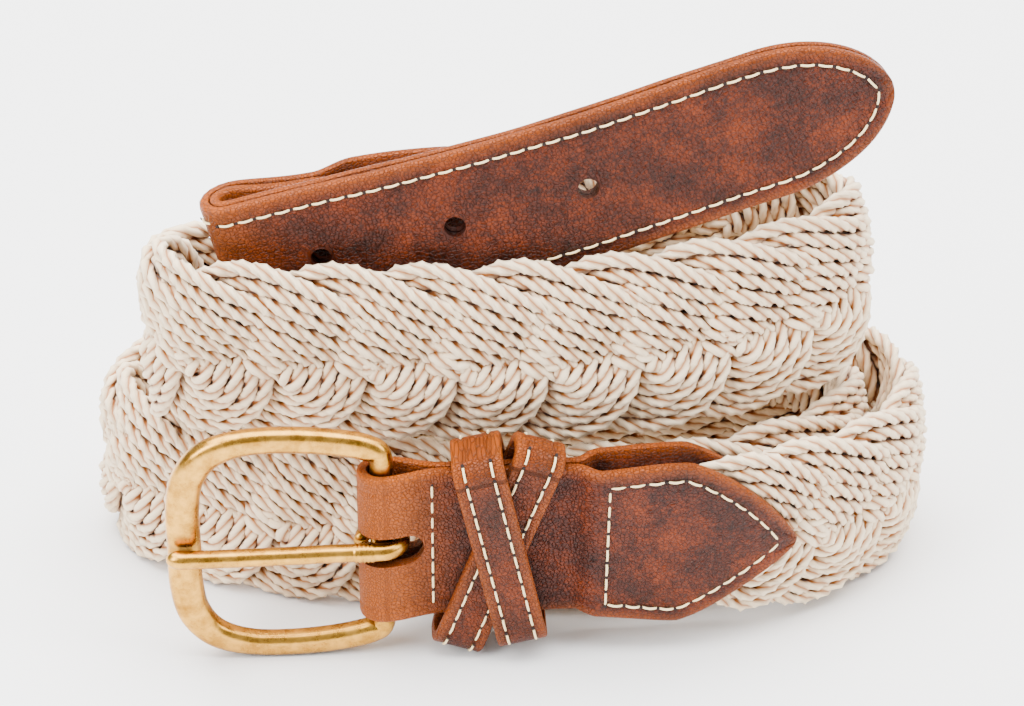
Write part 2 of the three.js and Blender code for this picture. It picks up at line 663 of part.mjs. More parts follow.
const cotton = new THREE.MeshStandardMaterial({ color: 0xf2e6d6, roughness: 0.95, metalness: 0 });
const tanLeather = new THREE.MeshStandardMaterial({ color: 0x96472a, roughness: 0.55, metalness: 0 });
const satinBrass = new THREE.MeshStandardMaterial({ color: 0xd9b25c, roughness: 0.32, metalness: 1 });

const belt = new THREE.Group();
function addPiece(name, geometry, material) {
  geometry.computeVertexNormals();
  const mesh = new THREE.Mesh(geometry, material);
  mesh.name = name;
  belt.add(mesh);
}

addPiece("braid", makeBraid(), cotton);
addPiece("chape", makeChape(), tanLeather);
addPiece("keeper_under", makeKeeper({
  along: keeperUnderAt,
  tiltDegrees: keeperUnderTilt,
  layersInside: 0,
  lift: 0,
}), tanLeather);
addPiece("keeper_over", makeKeeper({
  along: keeperOverAt,
  tiltDegrees: keeperOverTilt,
  layersInside: 1,
  lift: keeperOverLift,
}), tanLeather);
addPiece("tip_outer", makeTipLayer(1), tanLeather);
addPiece("tip_backing", makeTipLayer(-1), tanLeather);
addPiece("buckle_frame", makeBuckleFrame(), satinBrass);
addPiece("prong", makeProng(), satinBrass);

// The origin is under the middle of the whole belt, on the surface that it stands on
const box = new THREE.Box3().setFromObject(belt);
const middle = box.getCenter(new THREE.Vector3());
belt.position.set(-middle.x, -middle.y, -box.min.z);
belt.updateMatrixWorld(true);

export default belt;
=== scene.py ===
import math

import bmesh
import bpy
import numpy as np
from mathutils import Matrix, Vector
from mathutils.kdtree import KDTree


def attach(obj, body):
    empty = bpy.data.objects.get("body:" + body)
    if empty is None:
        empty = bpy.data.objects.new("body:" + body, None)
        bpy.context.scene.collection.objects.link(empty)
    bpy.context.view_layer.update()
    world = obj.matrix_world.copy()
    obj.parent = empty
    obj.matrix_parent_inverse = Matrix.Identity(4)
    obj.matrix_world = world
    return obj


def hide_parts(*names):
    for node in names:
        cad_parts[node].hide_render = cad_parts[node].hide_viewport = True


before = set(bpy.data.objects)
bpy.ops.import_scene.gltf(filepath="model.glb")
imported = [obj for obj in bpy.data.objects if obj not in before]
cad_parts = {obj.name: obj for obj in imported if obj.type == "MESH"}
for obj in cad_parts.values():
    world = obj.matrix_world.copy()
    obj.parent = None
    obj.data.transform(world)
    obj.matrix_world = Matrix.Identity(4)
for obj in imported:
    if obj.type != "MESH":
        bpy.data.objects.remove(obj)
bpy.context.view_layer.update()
mm = 0.001

# Cotton rope belt with tan leather ends and a brass buckle, coiled on a pale table.
# Working units are millimetres until the points become a mesh.
belt = {
    "coilLength": 160,
    "coilDepth": 66,
    "coilMiddle": 6.5,
    "runSpacing": 11.3,  # from one turn of the coil to the next
    "foldSpacing": 7.6,  # between the two legs of the folded tip strap
    "levelHeight": 39.5,
    "standing": 18.4,
    "buckleHeight": 52,
    "shift": (0.114, -3.174, 0.0),  # from the coil's own middle to the middle of the whole belt
    "chapeLength": 77.5,
    "chapePocketDepth": 36,
    "tipBackLength": 62,
    "tipFrontLength": 129.5,
    "tipPocketDepth": 34,
}

# The belt's way round: a row for each bend or straight
routeColumns = ("across", "deep", "inward", "fold", "level", "lift", "lean")
routeRows = [
    (-0.77, -1.13, 0, 0, 0, 1, 0),
    (-0.546, -1.1, 0, 0, 0, 1, 0),
    (-0.32, -1.07, 0, 0, 0, 1, 0),  # heel bar of the buckle
    (0.0, -1.03, 0, 0, 0, 1, 0),
    (0.26, -0.99, 0, 0, 0, 0.98, 0),
    (0.49, -0.94, 0, 0, 0, 0.85, 0),
    (0.68, -0.8, 0, 0, 0, 0.5, 0),
    (0.83, -0.5, 0, 0, 0, 0.2, 0),
    (0.94, -0.17, 0, 0, 0, 0.04, 0),
    (0.98, 0.17, 0, 0, 0, 0, 0),
    (0.93, 0.53, 0, 0, 0, 0, 0),
    (0.77, 0.83, 0, 0, 0, 0, 0),
    (0.51, 0.97, 0, 0, 0, 0, 0),
    (0.18, 1.0, 0, 0, 0, 0, 0),
    (-0.18, 0.99, 0, 0, 0, 0, 0),
    (-0.51, 0.94, 0, 0, 0, 0, 0),
    (-0.74, 0.82, 0, 0, 0, 0, 0),
    (-0.9, 0.53, 0, 0, 0, 0, 0),
    (-1.0, 0.17, 0, 0, 0, 0, -3),
    (-0.95, -0.15, 0.3, 0, 0, 0, -8),
    (-0.78, -0.5, 0.6, 0, 0, 0, -10),
    (-0.5, -0.84, 0.9, 0, 0, 0, -8),
    (-0.18, -0.97, 1, 0, 0, 0, -3),
    (0.15, -1.0, 1, 0, 0, 0, 0),
    (0.45, -0.96, 1, 0, 0, 0, 0),
    (0.69, -0.72, 1, 0, 0, 0, 0),
    (0.87, -0.35, 1, 0, 0, 0, 0),
    (0.97, 0.07, 1, 0, 0, 0, 0),
    (0.96, 0.53, 1, 0, 0, 0, 0),
    (0.81, 0.9, 0.95, 0, 0, 0, 0),
    (0.52, 1.0, 0.9, 0, 0.04, 0, 0),
    (0.2, 0.97, 0.9, 0, 0.15, 0, 0),
    (-0.15, 0.8, 0.9, 0, 0.31, 0, 0),
    (-0.47, 0.55, 0.9, 0, 0.51, 0, 0),
    (-0.73, 0.29, 0.9, 0, 0.72, 0, 0),
    (-0.92, -0.02, 0.97, 0, 0.91, 0, 0),
    (-0.99, -0.49, 1, 0, 1.0, 0, 0),
    (-0.895, -0.85, 1, 0, 1.0, 0, 0),
    (-0.66, -0.93, 1, 0, 1.0, 0, 0),
    (-0.36, -0.94, 1, 0, 1.0, 0, -2),
    (-0.06, -0.94, 1, 0, 1.0, 0, -3),
    (0.21, -0.89, 1, 0, 1.0, 0, -5),
    (0.48, -0.72, 1, 0, 1.01, 0, -7),
    (0.71, -0.45, 1, 0, 1.03, 0, -7),
    (0.87, -0.14, 1, 0, 1.04, 0, -6),
    (0.97, 0.21, 1, 0, 1.05, 0, -4),
    (0.93, 0.6, 1, 0, 1.05, 0, 0),
    (0.72, 0.74, 1, 0, 1.07, 0, 0),
    (0.42, 0.6, 1, 0, 1.15, 0, 0),
    (0.15, 0.35, 1, 0, 1.27, 0, 0),
    (-0.12, 0.07, 1, 0, 1.385, 0, 0),
    (-0.36, -0.74, 1.72, 1, 1.43, 0, 0),
    (-0.62, -0.93, 1.72, 1, 1.36, 0, 0),
    (-0.79, -0.93, 1.72, 1, 1.33, 0, 2),
    (-0.85, -0.93, 1.72, 0.86, 1.322, 0, 11),
    (-0.871, -0.93, 1.72, 0.5, 1.32, 0, 16),  # the tip strap folds back here
    (-0.85, -0.93, 1.72, 0.14, 1.33, 0, 11),
    (-0.79, -0.93, 1.72, 0, 1.355, 0, 1),
    (-0.62, -0.95, 1.72, 0, 1.43, 0, -2),
    (-0.36, -0.95, 1.72, 0, 1.53, 0, -5),
    (-0.05, -0.9, 1.72, 0, 1.655, 0, -7),
    (0.3, -0.74, 1.75, 0, 1.805, 0, -7),
    (0.65, -0.46, 1.74, 0, 1.975, 0, -7),
    (0.97, -0.17, 1.72, 0, 2.095, 0, -6),
    (1.27, 0.15, 1.72, 0, 2.235, 0, -5),
    (1.55, 0.54, 1.72, 0, 2.43, 0, -5),
]
barRow = 2
foldRow = 55


def unit(v):
    return v / np.linalg.norm(v, axis=-1, keepdims=True)


def travel(line):  # distance along a line at each of its points
    return np.concatenate([[0], np.cumsum(np.linalg.norm(np.diff(line, axis=0), axis=1))])


def traceRoute():
    rows = [dict(zip(routeColumns, row)) for row in routeRows]
    halfLength, halfDepth, run = belt["coilLength"] / 2, belt["coilDepth"] / 2, belt["runSpacing"]
    places = np.array([(
        r["across"] * (halfLength - r["inward"] * run),
        belt["coilMiddle"] + r["deep"] * (halfDepth - r["inward"] * run)
        + r["fold"] * belt["foldSpacing"],
        belt["standing"] + r["level"] * belt["levelHeight"]
        + r["lift"] * (belt["buckleHeight"] / 2 - belt["standing"]),
        r["lean"],
    ) for r in rows])
    stepsPerRow = 40
    u = np.arange(stepsPerRow) / stepsPerRow
    v = 1 - u
    weights = np.stack([v ** 3, 3 * u ** 3 - 6 * u * u + 4, 3 * v ** 3 - 6 * v * v + 4, u ** 3]) / 6
    slopes = np.stack([-(v ** 2), 3 * u * u - 4 * u, 4 * v - 3 * v * v, u * u])
    last = len(rows) - 2
    blended = np.concatenate([weights.T @ places[row - 1:row + 3] for row in range(1, last)])
    tangents = np.concatenate([slopes.T @ places[row - 1:row + 3, :3] for row in range(1, last)])
    return {
        "point": blended[:, :3] + np.array(belt["shift"]),
        "tangent": unit(tangents),
        "lean": blended[:, 3],
        "along": travel(blended[:, :3]),
        "row": np.arange(len(blended)) / stepsPerRow + 1,
    }


route = traceRoute()
barStation = float(np.interp(barRow, route["row"], route["along"]))
foldStation = float(np.interp(foldRow, route["row"], route["along"]))
chapeEnd = barStation + belt["chapeLength"]
tipStart = foldStation - belt["tipBackLength"]
tipEnd = foldStation + belt["tipFrontLength"]
braidStart = chapeEnd - belt["chapePocketDepth"]
braidEnd = tipStart + belt["tipPocketDepth"]


def alongRoute(key, station):
    values = route[key]
    if values.ndim == 1:
        return np.interp(station, route["along"], values)
    return np.stack([np.interp(station, route["along"], values[:, k]) for k in range(3)], -1)


def beltFrame(station):  # the belt's own directions at a station: outwards, and up across its width
    tangent = unit(alongRoute("tangent", station))
    outward = unit(np.cross(tangent, [0.0, 0.0, 1.0]))
    upward = np.cross(outward, tangent)
    lean = np.radians(alongRoute("lean", station))[..., None]
    cosine, sine = np.cos(lean), np.sin(lean)
    return outward * cosine - upward * sine, upward * cosine + outward * sine


def onBelt(station, out, up):
    station, out, up = np.broadcast_arrays(*(np.asarray(a, float) for a in (station, out, up)))
    outward, across = beltFrame(station)
    return alongRoute("point", station) + outward * out[..., None] + across * up[..., None]


def smooth(low, high, value):
    t = np.clip((np.asarray(value, float) - low) / (high - low), 0, 1)
    return t * t * (3 - 2 * t)


# Small helpers for colours, nodes, materials and objects

def hexColour(code):
    channels = [int(code[i:i + 2], 16) / 255 for i in (1, 3, 5)]
    linear = [c / 12.92 if c <= 0.04045 else ((c + 0.055) / 1.055) ** 2.4 for c in channels]
    return (*linear, 1.0)


def addNode(tree, kind, settings=None, values=None, links=None):
    node = tree.nodes.new(kind)
    for name, value in (settings or {}).items():
        setattr(node, name, value)
    for name, value in (values or {}).items():
        node.inputs[name].default_value = value
    for name, source in (links or {}).items():
        tree.links.new(source, node.inputs[name])
    return node


def newMaterial(name, roughness):
    material = bpy.data.materials.new(name)
    material.use_nodes = True
    tree = material.node_tree
    shader = tree.nodes["Principled BSDF"]
    shader.inputs["Roughness"].default_value = roughness
    return material, tree, shader


def plainMaterial(name, colour, roughness):
    material, _, shader = newMaterial(name, roughness)
    shader.inputs["Base Color"].default_value = hexColour(colour)
    return material


def newTree(name, inputs):  # an empty geometry tree, its sockets' identifiers and its two ends
    tree = bpy.data.node_groups.new(name, "GeometryNodeTree")
    tree.interface.new_socket("Geometry", in_out="INPUT", socket_type="NodeSocketGeometry")
    sockets = {}
    for key, kind in inputs:
        sockets[key] = tree.interface.new_socket(key, in_out="INPUT", socket_type=kind).identifier
    tree.interface.new_socket("Geometry", in_out="OUTPUT", socket_type="NodeSocketGeometry")
    return tree, sockets, addNode(tree, "NodeGroupInput").outputs, addNode(tree, "NodeGroupOutput")


def finishTree(tree, geometry, material, result):  # smooth, realized and painted
    shaded = addNode(tree, "GeometryNodeSetShadeSmooth", links={"Geometry": geometry})
    real = addNode(tree, "GeometryNodeRealizeInstances", links={"Geometry": shaded.outputs["Geometry"]})
    painted = addNode(tree, "GeometryNodeSetMaterial", links={
        "Geometry": real.outputs["Geometry"], "Material": material})
    tree.links.new(painted.outputs["Geometry"], result.inputs[0])


def addRamp(tree, factor, stops):
    ramp = addNode(tree, "ShaderNodeValToRGB", links={"Fac": factor})
    elements = ramp.color_ramp.elements
    while len(elements) < len(stops):
        elements.new(0.5)
    for element, (place, code) in zip(elements, stops):
        element.position = place
        element.color = hexColour(code)
    return ramp.outputs["Color"]


def addMix(tree, factor, first, second):
    mix = addNode(tree, "ShaderNodeMix", {"data_type": "RGBA"})
    for socket, value in ((mix.inputs[0], factor), (mix.inputs[6], first), (mix.inputs[7], second)):
        if isinstance(value, bpy.types.NodeSocket):
            tree.links.new(value, socket)
        else:
            socket.default_value = value
    return mix.outputs[2]


def addMath(tree, operation, *values, clamp=False):
    node = addNode(tree, "ShaderNodeMath", {"operation": operation, "use_clamp": clamp})
    for socket, value in zip(node.inputs, values):
        if isinstance(value, bpy.types.NodeSocket):
            tree.links.new(value, socket)
        else:
            socket.default_value = value
    return node.outputs[0]


def addNoise(tree, place, scale, detail, roughness=0.5):
    values = {"Scale": scale, "Detail": detail, "Roughness": roughness}
    return addNode(tree, "ShaderNodeTexNoise", values=values, links={"Vector": place}).outputs["Fac"]


def readAttribute(tree, key, output="Fac"):
    return addNode(tree, "ShaderNodeAttribute", {"attribute_name": key}).outputs[output]


def shutIn(tree, reach):  # 1 in the tightest corners, 0 in the open
    occlusion = addNode(tree, "ShaderNodeAmbientOcclusion", {"samples": 8}, {"Distance": reach * mm})
    return addMath(tree, "SUBTRACT", 1.0, occlusion.outputs["AO"])


def dress(tree, shader, colour, height, strength, depth):  # joins a colour and a bump to the shader
    tree.links.new(colour, shader.inputs["Base Color"])
    bump = addNode(tree, "ShaderNodeBump", values={"Strength": strength, "Distance": depth * mm},
                   links={"Height": height})
    tree.links.new(bump.outputs["Normal"], shader.inputs["Normal"])


def addObject(name, data):
    made = bpy.data.objects.new(name, data)
    bpy.context.scene.collection.objects.link(made)
    return made


def setAttribute(mesh, key, values):  # a number or a vector at every point
    values = np.asarray(values, np.float32)
    kind, field = ("FLOAT_VECTOR", "vector") if values.ndim == 2 else ("FLOAT", "value")
    mesh.attributes.new(key, kind, "POINT").data.foreach_set(field, values.ravel())


# Natural cotton: twisted from combed yarn, so it is matt, a little translucent and streaked with
# fine fibres; painted tan shade fills the grooves between plies and cords, and painted dark brown shade
# lies in the tightest corners.
def cottonMaterial():
    look = {
        # groove and deep are colours of painted shade
        "yarn": "#FFEED2", "yarnWarm": "#F3D5A6", "groove": "#9C5A20", "deep": "#4E2A0C",
        "fibreWidth": 0.22, "fibreLength": 5.0, "fibreBump": 0.12,
        "plyShade": 0.95,  # strength of the shade in the grooves between plies
        "closeReach": 2.2,  # where another cord lies this near, shade gathers
        "closeShade": 1.25,
        "deepShade": 1.2,
    }
    material, tree, shader = newMaterial("natural twisted cotton", 0.92)
    place = readAttribute(tree, "cordSpace", "Vector")
    stretch = addNode(tree, "ShaderNodeMapping", links={"Vector": place})
    fineness = 1 / (look["fibreWidth"] * mm)
    stretch.inputs["Scale"].default_value = (fineness, fineness, 1 / (look["fibreLength"] * mm))
    fibres = addNoise(tree, stretch.outputs["Vector"], 1.0, 3.0, 0.6)
    # painted shade: tan in the ply grooves and where cords lie close, dark brown in the tightest corners
    valley = readAttribute(tree, "plyValley")
    shut = shutIn(tree, look["closeReach"])
    plyShade = addMath(tree, "MULTIPLY", addMath(tree, "POWER", valley, 2.2), look["plyShade"])
    close = addMath(tree, "MULTIPLY", addMath(tree, "POWER", shut, 2.2), look["closeShade"], clamp=True)
    shade = addMath(tree, "ADD", plyShade, close, clamp=True)
    streak = addMix(tree, fibres, hexColour(look["yarnWarm"]), hexColour(look["yarn"]))
    toned = addMix(tree, shade, streak, hexColour(look["groove"]))
    deep = addMath(tree, "MULTIPLY", addMath(tree, "POWER", shut, 6.0), look["deepShade"], clamp=True)
    colour = addMix(tree, deep, toned, hexColour(look["deep"]))
    dress(tree, shader, colour, fibres, 0.55, look["fibreBump"])
    shader.inputs["Specular IOR Level"].default_value = 0.25
    shader.inputs["Sheen Weight"].default_value = 0.25
    shader.inputs["Sheen Roughness"].default_value = 0.5
    return material


cotton = cottonMaterial()
print("cotton material made")

# Braid: three flat strands of parallel cords, each cord laid from three plies
braid = {
    "width": 38.0,
    "thickness": 7.5,
    "period": 51.0,  # length in which one strand goes across and back
    "slide": 0.9,  # how far a strand's middle slides along the belt for each mm across it
    "strands": 3,
    "cordsPerStrand": 8,
    "cordDiameter": 2.8,
    "plumpness": 1.27,  # soft cords swell until they touch their neighbours
    "leastFullness": 0.78,  # where a steep turn crowds the cords, they are this much slimmer
    "sway": 8.0,  # of a strand's middle, either way
    "rise": 1.9,  # of a strand over and under the others
    "dome": 0.45,  # how much higher the middle cords of a strand ride
    "turn": 0.8,  # how far the row of cords turns with the strand's direction
    "middleLead": 25.0,  # degrees by which a strand's upper cords come over before its middle one
    "edgeLag": 10.0,  # and by which they come over after it where the strand turns at an edge
    "firstTurn": 1 / 24,  # share of the period by which the first strand has turned at the start
    "lay": 12.6,  # length in which a ply goes once round its cord
    "plyDepth": 0.4,
    "cordSides": 12,
    "ringStep": 1.12,
    "endThinness": 0.62,
    "thinning": (-6, 20),  # distances from the mouth of a pocket between which the plait fills out
    "endNarrowness": 0.66,
    "narrowing": (0.3, 0.9),  # and shares of a pocket's depth between which it widens
    "wander": 0.22,  # unevenness of hand-laid cords across the belt
    "wanderLengths": (11, 37),
    "wanderOut": 0.132,  # and outwards
    "wanderOutLengths": (9, 31),
    "floorClearance": 1.78,
    "floorReach": 3.0,
}


def braidThinness(station):
    mouth = np.minimum(station - chapeEnd, tipStart - station)
    return braid["endThinness"] + (1 - braid["endThinness"]) * smooth(*braid["thinning"], mouth)


def braidNarrowness(station):
    inside = np.minimum(station - braidStart, braidEnd - station) / belt["chapePocketDepth"]
    return braid["endNarrowness"] + (1 - braid["endNarrowness"]) * smooth(*braid["narrowing"], inside)


def cordPath(strand, cord, random):
    period = braid["period"]
    run = np.arange(braidStart - period, braidEnd + period, braid["ringStep"])
    phase = 2 * math.pi * ((run - braidStart) / period + braid["firstTurn"] - strand / braid["strands"])
    sway = braid["sway"]
    offset = (cord - (braid["cordsPerStrand"] - 1) / 2) * braid["cordDiameter"]
    rising = sway * np.cos(phase) * 2 * math.pi / period
    heading = np.arctan2(rising, 1 - braid["slide"] * rising)
    turned = heading * braid["turn"]
    station = run - braid["slide"] * sway * np.sin(phase) - offset * np.sin(turned)
    up = sway * np.sin(phase) + offset * np.cos(turned)
    strandHalf = braid["width"] / 2 - sway
    lead = np.radians(braid["middleLead"] * np.cos(phase) - braid["edgeLag"] * np.sin(phase))
    lead = lead * offset / strandHalf
    dome = 1 + braid["dome"] * (1 - (offset / strandHalf) ** 2)
    out = -braid["rise"] * dome * np.sin(2 * (phase + lead))
    fullness = np.clip(np.cos(heading - turned), braid["leastFullness"], 1)
    for wave in range(3):
        length, start = random.uniform(*braid["wanderLengths"]), random.uniform(0, 2 * math.pi)
        up = up + braid["wander"] / (wave + 1) * np.sin(2 * math.pi * run / length + start)
        length, start = random.uniform(*braid["wanderOutLengths"]), random.uniform(0, 2 * math.pi)
        out = out + braid["wanderOut"] / (wave + 1) * np.sin(2 * math.pi * run / length + start)
    inside = (station >= braidStart) & (station <= braidEnd)
    station, up, out, fullness = station[inside], up[inside], out[inside], fullness[inside]
    points = onBelt(station, out * braidThinness(station), up * braidNarrowness(station))
    reach, clearance = braid["floorReach"], braid["floorClearance"]
    low = points[:, 2] < reach
    lowest = belt["standing"] - braid["width"] / 2 + braid["cordDiameter"] / 2
    pressed = clearance + (points[:, 2] - lowest) * (reach - clearance) / (reach - lowest)
    points[:, 2] = np.where(low, np.maximum(pressed, clearance), points[:, 2])
    return points, fullness


# Geometry Nodes: sweeps a lobed section along each line, turning it steadily, so that the lobes
# become the plies of a laid cord
def cordTree():
    tree, sockets, given, result = newTree("laidCord", (
        ("Diameter", "NodeSocketFloat"), ("Lay Length", "NodeSocketFloat"),
        ("Ply Depth", "NodeSocketFloat"), ("Sides", "NodeSocketInt"), ("Material", "NodeSocketMaterial")))
    plies, valleySharpness = 3, 3.4
    fibreShift = 0.01  # gives each cord fibres of its own
    lines = addNode(tree, "GeometryNodeMeshToCurve", links={"Mesh": given["Geometry"]}).outputs["Curve"]
    length = addNode(tree, "GeometryNodeSplineParameter").outputs["Length"]
    start, plump = (addNode(tree, "GeometryNodeInputNamedAttribute", {"data_type": "FLOAT"},
                            {"Name": key}).outputs["Attribute"] for key in ("startTurn", "plumpness"))
    turns = addMath(tree, "DIVIDE", length, given["Lay Length"])
    tilt = addMath(tree, "MULTIPLY_ADD", turns, 2 * math.pi, start)
    tilted = addNode(tree, "GeometryNodeSetCurveTilt", links={"Curve": lines, "Tilt": tilt})
    keepLength = addNode(tree, "GeometryNodeCaptureAttribute",
                         links={"Geometry": tilted.outputs["Curve"]})
    keepLength.capture_items.new("FLOAT", "Along")
    tree.links.new(length, keepLength.inputs["Along"])

    radius = addMath(tree, "DIVIDE", given["Diameter"], 2.0)
    circle = addNode(tree, "GeometryNodeCurvePrimitiveCircle",
                     links={"Resolution": given["Sides"], "Radius": radius}).outputs["Curve"]
    index = addNode(tree, "GeometryNodeInputIndex").outputs["Index"]
    perPly = addMath(tree, "DIVIDE", given["Sides"], float(plies))
    turn = addMath(tree, "MULTIPLY", addMath(tree, "DIVIDE", index, perPly), math.pi)
    cosine = addMath(tree, "ABSOLUTE", addMath(tree, "COSINE", turn))
    valley = addMath(tree, "POWER", cosine, valleySharpness)
    shrink = addMath(tree, "SUBTRACT", 1.0, addMath(tree, "MULTIPLY", valley, given["Ply Depth"]))
    position = addNode(tree, "GeometryNodeInputPosition").outputs["Position"]
    lobed = addNode(tree, "ShaderNodeVectorMath", {"operation": "SCALE"},
                    links={0: position, "Scale": shrink}).outputs["Vector"]
    section = addNode(tree, "GeometryNodeSetPosition", links={"Geometry": circle, "Position": lobed})
    keepValley = addNode(tree, "GeometryNodeCaptureAttribute",
                         links={"Geometry": section.outputs["Geometry"]})
    keepValley.capture_items.new("FLOAT", "Valley")
    keepValley.capture_items.new("VECTOR", "Place")
    tree.links.new(valley, keepValley.inputs["Valley"])
    tree.links.new(position, keepValley.inputs["Place"])

    cords = addNode(tree, "GeometryNodeCurveToMesh", values={"Fill Caps": True}, links={
        "Curve": keepLength.outputs["Geometry"], "Profile Curve": keepValley.outputs["Geometry"],
        "Scale": plump})
    split = addNode(tree, "ShaderNodeSeparateXYZ", links={"Vector": keepValley.outputs["Place"]})
    shifted = addMath(tree, "MULTIPLY_ADD", start, fibreShift, split.outputs["X"])
    space = addNode(tree, "ShaderNodeCombineXYZ", links={
        "X": shifted, "Y": split.outputs["Y"], "Z": keepLength.outputs["Along"]}).outputs["Vector"]
    stored = cords.outputs["Mesh"]
    for key, kind, value in (("cordSpace", "FLOAT_VECTOR", space),
                             ("plyValley", "FLOAT", keepValley.outputs["Valley"])):
        stored = addNode(tree, "GeometryNodeStoreNamedAttribute", {"data_type": kind, "domain": "POINT"},
                         {"Name": key}, {"Geometry": stored, "Value": value}).outputs["Geometry"]
    finishTree(tree, stored, given["Material"], result)
    return tree, sockets


def throughNodes(mesh, tree, sockets, values, name):  # a plain piece from a mesh and a node tree
    source = addObject("source", mesh)
    modifier = source.modifiers.new("nodes", "NODES")
    modifier.node_group = tree
    for key, value in values.items():
        modifier[sockets[key]] = value
    bpy.context.view_layer.update()
    evaluated = source.evaluated_get(bpy.context.evaluated_depsgraph_get())
    made = bpy.data.meshes.new_from_object(evaluated)
    source.modifiers.remove(modifier)
    bpy.data.objects.remove(source)
    return addObject(name, made)


def makeStrand(strand, random, tree, sockets):
    points, edges, starts, plumpness = [], [], [], []
    for cord in range(braid["cordsPerStrand"]):
        path, fullness = cordPath(strand, cord, random)
        first = sum(len(p) for p in points)
        edges += [(first + i, first + i + 1) for i in range(len(path) - 1)]
        points.append(path)
        plumpness.append(fullness * braid["plumpness"])
        starts.append(np.full(len(path), random.uniform(0, 2 * math.pi)))
    mesh = bpy.data.meshes.new("cord lines")
    mesh.from_pydata((np.concatenate(points) * mm).tolist(), edges, [])
    setAttribute(mesh, "startTurn", np.concatenate(starts))
    setAttribute(mesh, "plumpness", np.concatenate(plumpness))
    piece = throughNodes(mesh, tree, sockets, {
        "Diameter": braid["cordDiameter"] * mm,
        "Lay Length": braid["lay"] * mm,
        "Ply Depth": braid["plyDepth"],
        "Sides": braid["cordSides"],
        "Material": cotton,
    }, f"strand_{strand + 1}")
    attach(piece, "belt")
    return piece


laidCord, laidCordSockets = cordTree()
random = np.random.default_rng(7)
cordPieces = [makeStrand(strand, random, laidCord, laidCordSockets) for strand in range(braid["strands"])]
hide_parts("braid")
print("braid laid:", sum(len(p.data.polygons) for p in cordPieces), "faces")


# Vegetable-tanned leather: brown in the middle, rubbed to a lighter orange at its cut edges and bends,
# with a fine pebbled grain, and painted near-black shade where another layer lies close
def leatherMaterial():
    look = {
        "dark": "#1C0601", "middle": "#421503", "light": "#742C03",
        "edge": "#8A3F06", "rubbed": "#A04C02", "poreAndShade": "#0C0301",
        "grainSize": 0.75, "grainDepth": 0.22, "mottleSize": 9.0, "speckleSize": 1.1,
        "edgeWidth": 2.4,
        "rubbedShare": 0.85,
        "poreShare": 0.5,
        "shadeReach": 4.0,  # where another layer lies this near, painted shade gathers
        "shadeShare": 0.9,
    }
    material, tree, shader = newMaterial("burnished tan leather", 0.42)
    place = readAttribute(tree, "leatherSpace", "Vector")
    edge = readAttribute(tree, "edgeDistance")
    rubbed = readAttribute(tree, "rubbed")
    mottle = addNoise(tree, place, 1 / (look["mottleSize"] * mm), 4.0, 0.6)
    speckle = addNoise(tree, place, 1 / (look["speckleSize"] * mm), 3.0, 0.7)
    cells = addNode(tree, "ShaderNodeTexVoronoi", {"feature": "DISTANCE_TO_EDGE"}, {
        "Scale": 1 / (look["grainSize"] * mm), "Randomness": 1.0}, {"Vector": place}).outputs["Distance"]
    tone = addMath(tree, "MULTIPLY_ADD", speckle, 0.55, addMath(tree, "MULTIPLY", mottle, 0.75))
    base = addRamp(tree, tone, [(0.42, look["dark"]), (0.62, look["middle"]), (0.86, look["light"])])
    fromEdge = addMath(tree, "DIVIDE", edge, look["edgeWidth"])
    nearEdge = addMath(tree, "SUBTRACT", 1.0, fromEdge, clamp=True)
    patches = addMath(tree, "MULTIPLY_ADD", mottle, 0.9, 0.3)
    ragged = addMath(tree, "MULTIPLY", nearEdge, patches, clamp=True)
    colour = addMix(tree, ragged, base, hexColour(look["edge"]))
    worn = addMath(tree, "MULTIPLY", rubbed, look["rubbedShare"], clamp=True)
    colour = addMix(tree, worn, colour, hexColour(look["rubbed"]))
    pore = addMath(tree, "SUBTRACT", 1.0, addMath(tree, "MULTIPLY", cells, 9.0), clamp=True)
    pore = addMath(tree, "MULTIPLY", pore, look["poreShare"])
    colour = addMix(tree, pore, colour, hexColour(look["poreAndShade"]))
    # painted shade: near-black where another layer of leather lies close, in the pores' dark colour
    shut = addMath(tree, "POWER", shutIn(tree, look["shadeReach"]), 1.6)
    shade = addMath(tree, "MULTIPLY", shut, look["shadeShare"], clamp=True)
    colour = addMix(tree, shade, colour, hexColour(look["poreAndShade"]))
    height = addMath(tree, "MULTIPLY_ADD", addMath(tree, "MINIMUM", cells, 0.16), 5.0, speckle)
    dress(tree, shader, colour, height, 0.9, look["grainDepth"])
    shader.inputs["Specular IOR Level"].default_value = 0.2
    return material


leatherSkin = leatherMaterial()

# Leather straps: finely lofted strips with rounded edges and a shallow groove for each row of stitches
leather = {
    "thick": 2.0,
    "layerGap": 0.3,
    "restGap": 0.35,
    "rampEase": 1,
    "outerCorner": 0.75,
    "innerCorner": 0.4,
    "ringStep": 1.0,
    "endSteps": (0.02, 0.12, 0.3, 0.55),  # distances of extra rings from either end
    "pointCurve": (1.28, 1.22),  # of the pointed ends over the rope
    "endCurve": (2.1, 1.75),  # of the free end
    "seamInset": 3.2,
    "seamSides": (1.25, 2.35, 2.8, 3.2, 3.6, 4.05, 4.9),  # columns of the grid beside a row of stitches
    "seamDepths": (0, 0, 0.07, 0.17, 0.07, 0, 0),
    "fullGridWidth": 7.0,  # a strip narrower than this each way draws its columns together
    "mostSlant": 1.8,
    "mostSqueeze": 0.9,
    "endRounding": 0.9,
    "creaseAngle": 38,
    "wave": 0.13,
    "waveLengths": (7.3, 9),  # along and across
    "ripple": 0.6,  # share of the shorter waves
    "rippleLengths": (3.1, 5),
    "holeDiameter": 4.0,
    "dimple": 0.4,
    "dimpleReach": 2.1,
    "dimpleSoftness": 1.6,
}


def braidPocket(station):  # half the clear space that the rope's squeezed end needs
    return braid["thickness"] / 2 * braidThinness(station) + leather["restGap"]


